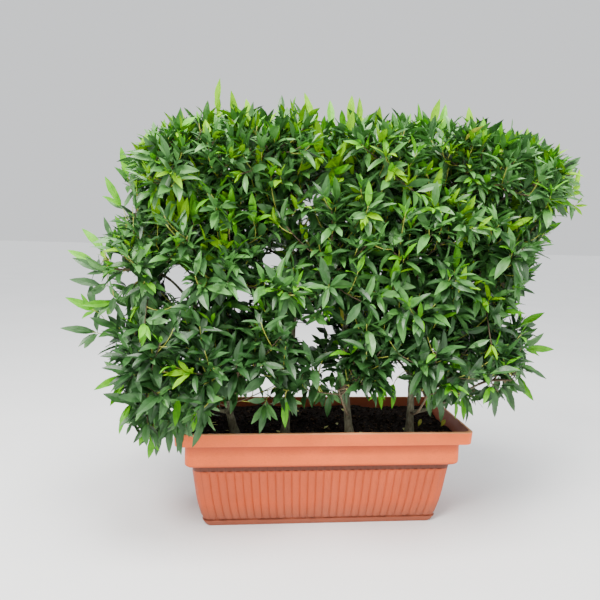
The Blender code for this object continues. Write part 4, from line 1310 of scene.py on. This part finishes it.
class Leaves:
    """Leaves gathered as rows of numbers, then made into one mesh with a tone for each leaf."""

    def __init__(self):
        self.rows = []
        self.places = []

    def add(self, root, direction, face, length, width, curl, fold, wave, tone, twig=None, place=0.0):
        self.rows.append((*root, *direction, *face, length, width, curl, fold, wave, tone))
        self.places.append((twig, place))

    def points(self):
        """For each leaf and station, the edge and the middle of both blades. The leaf bends along an arc."""
        table = np.array(self.rows)
        root, direction, face = table[:, None, 0:3], table[:, None, 3:6], table[:, None, 6:9]
        length, width, curl, fold, wave = table[:, 9:14, None].transpose(1, 0, 2)
        face = face - direction * (face * direction).sum(axis=2, keepdims=True)
        face = face / np.linalg.norm(face, axis=2, keepdims=True)
        across = np.cross(direction, face)
        stations = np.array(LEAF_STATIONS)
        bend = curl * stations
        forward = (length * np.sin(bend) / curl)[..., None]
        down = (length * (1 - np.cos(bend)) / curl)[..., None]
        middle = root + forward * direction - down * face
        normal = np.cos(bend)[..., None] * face + np.sin(bend)[..., None] * direction
        half = length * width / 2 * np.array(LEAF_HALF_WIDTHS)
        lift = half * fold
        ripple = half * LEAF_WAVE * np.sin(wave + stations * LEAF_WAVE_TURN)
        columns = ((-half, lift + ripple), (0 * half, 0 * half), (0 * half, 0 * half), (half, lift - ripple))
        strip = [middle + out[..., None] * across + up[..., None] * normal for out, up in columns]
        return np.stack(strip, axis=2)

    def prune(self, segments, standing=False):
        """Drops the leaves that leave the crown or the reach, or that touch the trough or a limb."""
        strip = self.points()
        inner = strip[:, LEAF_INNER_STATIONS].reshape(-1, 3)
        outer = strip[:, :, (0, 3)].reshape(-1, 3)
        batches = np.array_split(outer, len(outer) // POINTS_AT_ONCE + 1)
        clear = np.concatenate([clear_of(batch, segments, 0.0) for batch in batches])
        tests = [clear & clear_of_trough(outer) & in_reach(outer)]
        if not standing:
            tests += [out_of_gaps(outer), in_crown(inner, LEAF_INSET)]
        fits = np.all([test.reshape(len(strip), -1).all(axis=1) for test in tests], axis=0)
        self.rows = [row for row, fit in zip(self.rows, fits) if fit]
        self.places = [place for place, fit in zip(self.places, fits) if fit]

    def leafy(self):
        """Each twig's outermost leaf, as its distance along the twig."""
        outermost = {}
        for twig, place in self.places:
            outermost[twig] = max(outermost.get(twig, 0), place)
        return outermost

    def make(self, name, materials):
        strip = self.points()
        count, stations, wide = strip.shape[:3]
        corner = (np.arange(stations - 1)[:, None] * wide + (0, 2)).ravel()
        quads = np.stack([corner, corner + 1, corner + wide + 1, corner + wide], axis=1)
        faces = (quads + (np.arange(count) * stations * wide)[:, None, None]).reshape(-1, 4)
        tones = np.repeat([row[-1] for row in self.rows], len(quads))
        leaves = mesh_object(name, strip.reshape(-1, 3), faces, materials, tones)
        return dress(leaves, "leaf")


def leaf_tone(rand, youth, rank, row):
    """The tone of a leaf by its rank from the shoot's tip: the youngest lime or fresh, the rest dealt."""
    draw = rand.random()
    if youth == "lime" and rank < LIME_RANKS:
        return LIME if draw < BRIGHT_SHARE else FRESH
    if youth == "fresh" and rank < FRESH_RANKS:
        return FRESH if draw < BRIGHT_SHARE else MID
    if draw < YELLOW_SHARE:
        return YELLOW
    # Painted shade and sheen: the row's shares give more deep leaves low down and more mid and pale ones at
    # the top
    shares = TUFT_SHARES[row] if rank < TUFT else OLD_SHARES[row]
    return rand.choices((DEEP, DARK, MID, PALE_PAINTED_SHEEN), shares)[0]


def shoot_youth(rand, row):
    """Whether a shoot ends in lime, fresh or old leaves: lime ones are common at the top."""
    draw = rand.random()
    lime = LIME_SHARES[row]
    return "lime" if draw < lime else "fresh" if draw < lime + FRESH_SHARES[row] else "old"


def leave(twig, leaves, rand, row, scale=1.0, youth=None, bare=LEAF_BARE, count=MOST_LEAVES, facing=UP):
    """Leaves in a spiral along a twig, young and close together at its tip."""
    youth = youth or shoot_youth(rand, row)
    place = twig.length
    turn = rand.uniform(0, CIRCLE)
    for rank in range(count):
        if place < bare:
            break
        root, axis = twig.at(place)
        turn += GOLDEN_TURN + rand.uniform(-LEAF_TURN_WAVER, LEAF_TURN_WAVER)
        lean = LEAN_TIP + (LEAN_LOW[row] - LEAN_TIP) * min(rank / LEAN_RANKS, 1) + rand.gauss(0, LEAN_SPREAD)
        direction = turned(axis, turn, lean)
        face = axis + facing * LEAF_FACE_UP + shaken(rand, LEAF_FACE_WAVER)
        grown = YOUNGEST_SHARE + (1 - YOUNGEST_SHARE) * min(rank / FULL_SIZE_RANK, 1)
        length = rand.uniform(*LEAF_LENGTHS) * LEAF_SCALES[row] * grown * scale
        curl = rand.uniform(*LEAF_CURLS) * (YOUNG_CURL + (1 - YOUNG_CURL) * grown)
        tone = leaf_tone(rand, youth, rank, row)
        width = rand.uniform(*LEAF_WIDTHS) * (YOUNG_WIDTH + (1 - YOUNG_WIDTH) * grown)
        fold = rand.uniform(*LEAF_FOLDS)
        wave = rand.uniform(0, CIRCLE)
        leaves.add(root, direction, face, length, width, curl, fold, wave, tone, twig, place)
        place -= (TUFT_SPACING if rank < TUFT else LEAF_SPACING) * rand.uniform(*SPACING_SPREAD)


def direct_seat(stem, centre, centres):
    """The lowest place on a stem's side that lies in the cell, with its direction, or None."""
    for height in np.arange(BOUGH_LOWEST, min(centre.z, STEM_TOP - BOUGH_SPACING), WAY_STEP):
        foot = stem.at_height(height)[0]
        target = foot + Vector(((centre.x - foot.x) * SEAT_SIDEWAYS, centre.y - foot.y, 0))
        start, outward = stem.seat(height, target)
        near = np.array([start, start + outward * SPINE_RADIUS, start - UP * WAY_STEP])
        if in_cell(near, centre, centres).all():
            return start, outward
    return None


def cell_entry(stem, centre, centres):
    """Where a straight way from a stem to a cell's centre has just entered the cell."""
    foot = stem.at_height(min(centre.z, STEM_TOP) - BOUGH_AIM_DROP)[0]
    line = np.array([foot.lerp(centre, share) for share in np.linspace(0, 1, LINE_SAMPLES)])
    first = Vector(line[np.argmax(in_cell(line, centre, centres))])
    return first + (centre - foot).normalized() * BOUGH_ENTRY


def plan_masses(stems, material):
    """Makes the boughs. Returns them, and every mass's name, centre, start and heading."""
    cells = cell_centres()
    centres = [centre for _, centre in cells]
    boughs = []
    plans = []
    wanted = []
    free_from = {}
    for name, centre in cells:
        stem = min(stems, key=lambda each: abs(each.at_height(centre.z)[0].x - centre.x))
        seat = direct_seat(stem, centre, centres)
        if seat:
            plans.append((name, centre, *seat))
            continue
        end = cell_entry(stem, centre, centres)
        run = math.hypot(end.x - stem.path[0].x, end.y - stem.path[0].y)
        height = max(end.z - BOUGH_SLOPE * run, BOUGH_LOWEST)
        wanted.append((height, name, stem, centre, end))
    for height, name, stem, centre, end in sorted(wanted, key=lambda plan: plan[:2]):
        height = max(height, free_from.get(stem.name, 0))
        free_from[stem.name] = height + BOUGH_SPACING
        bough = make_bough(f"bough_{name}", stem, height, centre, end, material)
        boughs.append(bough)
        heading = (bough.path[-1] - bough.path[-2]).normalized()
        plans.append((name, centre, end + heading * JOINT_GAP, heading))
    return boughs, plans


def standing_twig(masses, tip, spike):
    """A shoot from the nearest twig, which ends where its last leaf, the spike, just reaches the tip."""
    rise = HANG_RISE if tip.z < HANG_HEIGHT else SIDEWAYS_RISE
    if tip.z > TOP_HEIGHT or tip.y < UPRIGHT_FRONT:
        rise = UPRIGHT_RISE
    way = (outward(tip) + UP * rise).normalized()
    end = tip - way * spike * SPIKE_BEYOND
    best = None
    for twig in [twig for mass in masses for twig in mass.twigs]:
        for share in STANDING_STARTS:
            root, axis = twig.at(twig.length * share)
            distance = (end - root).length
            cost = distance + abs(end.x - root.x)
            if distance > STANDING_SHORTEST and (best is None or cost < best[0]):
                best = (cost, distance, root, axis, twig, twig.length * share)
    _, distance, root, axis, parent, place = best
    lead = root + (axis + (end - root).normalized()) * distance * STANDING_LEAD
    bend = end - way * distance * STANDING_BEND
    shares = even_shares(TWIG_STEPS)
    path = [bezier(root, lead, bend, end, share) for share in shares]
    return Twig(path, tapered(SIDE_RADIUS, SIDE_TIP_RADIUS, shares), SIDE_SIDES, parent, place)


def make_standing(masses, rand):
    """The leaves of the shoots that stand out, each with a grown leaf at its very tip."""
    leaves = Leaves()
    for x, y, z, scale, youth, count in STANDING_SHOOTS:
        spike = LEAF_LENGTHS[1] * scale
        twig = standing_twig(masses, Vector((x, y, z)), spike)
        root, axis = twig.at(twig.length)
        face = STANDING_FACE + shaken(rand, SPIKE_WAVER)
        shape = (spike, LEAF_WIDTHS[0], SPIKE_CURL, SPIKE_FOLD, 0.0)
        leaves.add(root, axis, face, *shape, SPIKE_TONES[youth], twig, twig.length)
        row = "top" if z > TOP_HEIGHT else "middle"
        bare = twig.length * STANDING_BARE_SHARE
        leave(twig, leaves, rand, row, scale, youth, bare, count, STANDING_FACE * STANDING_FACING)
    return leaves


def make_twigs(twigs):
    """All twigs in one mesh, the old ones brown and the young ones green."""
    materials = [
        bark("twig_bark", (0.048, 0.034, 0.021), (0.125, 0.090, 0.055), (0.165, 0.150, 0.085)),
        blade("twig_green", (0.270, 0.330, 0.035), (0.450, 0.460, 0.060), 0.6),
    ]
    points = []
    faces = []
    tones = []
    for twig in twigs:
        first = len(points)
        points += rings(twig.path, twig.radii, twig.sides)
        made = rows_to_faces(len(twig.path), twig.sides)
        faces += [tuple(first + i for i in face) for face in made]
        tones += [int(twig.young)] * len(made)
    dress(mesh_object("twigs", points, faces, materials, tones), "bark")


def make_foliage(plans, segments):
    """The twigs and leaves of every mass, the shoots set one by one, and the fallen leaves."""
    rand = random.Random(SEED)
    centres = [centre for _, centre, _, _ in plans]
    masses = []
    for seed, (name, centre, start, heading) in enumerate(plans, SEED):
        mass = Mass(name, centre, centres, segments, seed)
        mass.grow(start, heading)
        masses.append(mass)
    materials = [blade(name, *look) for name, look in TONES.items()]
    groups = {}
    for mass in masses:
        groups.setdefault(f"{mass.row}_{mass.layer}", []).append(mass)
    for name, group in groups.items():
        leaves = Leaves()
        for mass in group:
            for twig in mass.twigs:
                bare = LEAF_BARE if twig.young else twig.length * OLD_BARE_SHARE
                leave(twig, leaves, rand, mass.row, bare=bare)
        leaves.prune(segments)
        for mass in group:
            mass.trim(leaves.leafy())
        piece = leaves.make(f"leaves_{name}", materials)
        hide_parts(*[f"foliage_{mass.name}" for mass in group])
    standing = make_standing(masses, rand)
    standing.prune(segments, standing=True)
    standing.make("leaves_standing", materials)
    twigs = [twig for mass in masses for twig in mass.twigs] + list(standing.leafy())
    make_twigs(twigs)
    make_fallen(materials)


def make_fallen(materials):
    """A few yellowed leaves on the soil."""
    rand = random.Random(SEED)
    half_sizes = soil_half_sizes(SOIL_TOP)
    places = list(FALLEN_PLACES)
    for _ in range(FALLEN_REST):
        places.append([rand.uniform(-far, far) * half for far, half in zip(FALLEN_SPREAD, half_sizes)])
    fallen = Leaves()
    for number, (x, y) in enumerate(places):
        chosen = number < len(FALLEN_PLACES)
        root = Vector((x, y, soil_height(x, y) + FALLEN_RISE))
        turn = rand.uniform(0, CIRCLE)
        direction = Vector((math.cos(turn), math.sin(turn), FALLEN_SLOPES[chosen])).normalized()
        face = UP + FRONT * chosen
        length = FALLEN_LENGTHS[1] if chosen else rand.uniform(*FALLEN_LENGTHS)
        fallen.add(root, direction, face, length, FALLEN_WIDTH, FALLEN_CURL, FALLEN_FOLD, turn, YELLOW)
    fallen.make("fallen_leaves", materials)


def make_camera():
    camera = link(bpy.data.objects.new("camera", bpy.data.cameras.new("camera")))
    camera.data.lens = CAMERA_LENS_MM
    camera.data.sensor_width = CAMERA_SENSOR_MM
    turn = Matrix.Rotation(CAMERA_YAW, 3, "Z") @ Matrix.Rotation(CAMERA_PITCH, 3, "X")
    turn = turn @ Matrix.Rotation(CAMERA_ROLL, 3, "Y") @ Matrix.Rotation(math.pi / 2, 3, "X")
    camera.matrix_world = Matrix.Translation(Vector(EYE)) @ turn.to_4x4()
    bpy.context.scene.camera = camera


def make_lights():
    for name, place, size, power, colour in LIGHTS:
        data = bpy.data.lights.new(name, "AREA")
        data.size = size
        data.energy = power
        data.color = colour
        light = link(bpy.data.objects.new(name, data))
        light.location = place
        light.rotation_euler = (LIGHT_AIM - Vector(place)).to_track_quat("-Z", "Y").to_euler()


def make_studio():
    """A plain pale floor and an even pale surround."""
    surface = Surface("studio_floor", roughness=0.8, specular=0.0)
    surface.colour(surface.ramp(surface.noise(2), FLOOR_TONES))
    corners = [(x * FLOOR_REACH, y * FLOOR_REACH, 0) for x, y in ((-1, -1), (1, -1), (1, 1), (-1, 1))]
    floor = mesh_object("floor", corners, [(0, 1, 2, 3)], [surface.material])
    world = bpy.data.worlds.new("studio")
    world.use_nodes = True
    nodes, links = world.node_tree.nodes, world.node_tree.links
    split = nodes.new("ShaderNodeSeparateXYZ")
    links.new(nodes.new("ShaderNodeTexCoord").outputs["Generated"], split.inputs["Vector"])
    strength = nodes.new("ShaderNodeMapRange")
    strength.inputs["From Min"].default_value = SKY_START
    strength.inputs["To Min"].default_value = SKY_LOW
    strength.inputs["To Max"].default_value = SKY_HIGH
    links.new(split.outputs["Z"], strength.inputs["Value"])
    links.new(strength.outputs["Result"], nodes["Background"].inputs["Strength"])
    nodes["Background"].inputs["Color"].default_value = SKY_COLOUR
    bpy.context.scene.world = world


def main():
    make_camera()
    make_studio()
    make_lights()
    make_trough()
    make_soil()
    make_chips()
    stem_bark = bark("bark", (0.072, 0.066, 0.042), (0.180, 0.168, 0.110), (0.235, 0.230, 0.150))
    stems = make_stems(stem_bark)
    boughs, plans = plan_masses(stems, stem_bark)
    make_foliage(plans, limb_segments(stems + boughs))


main()
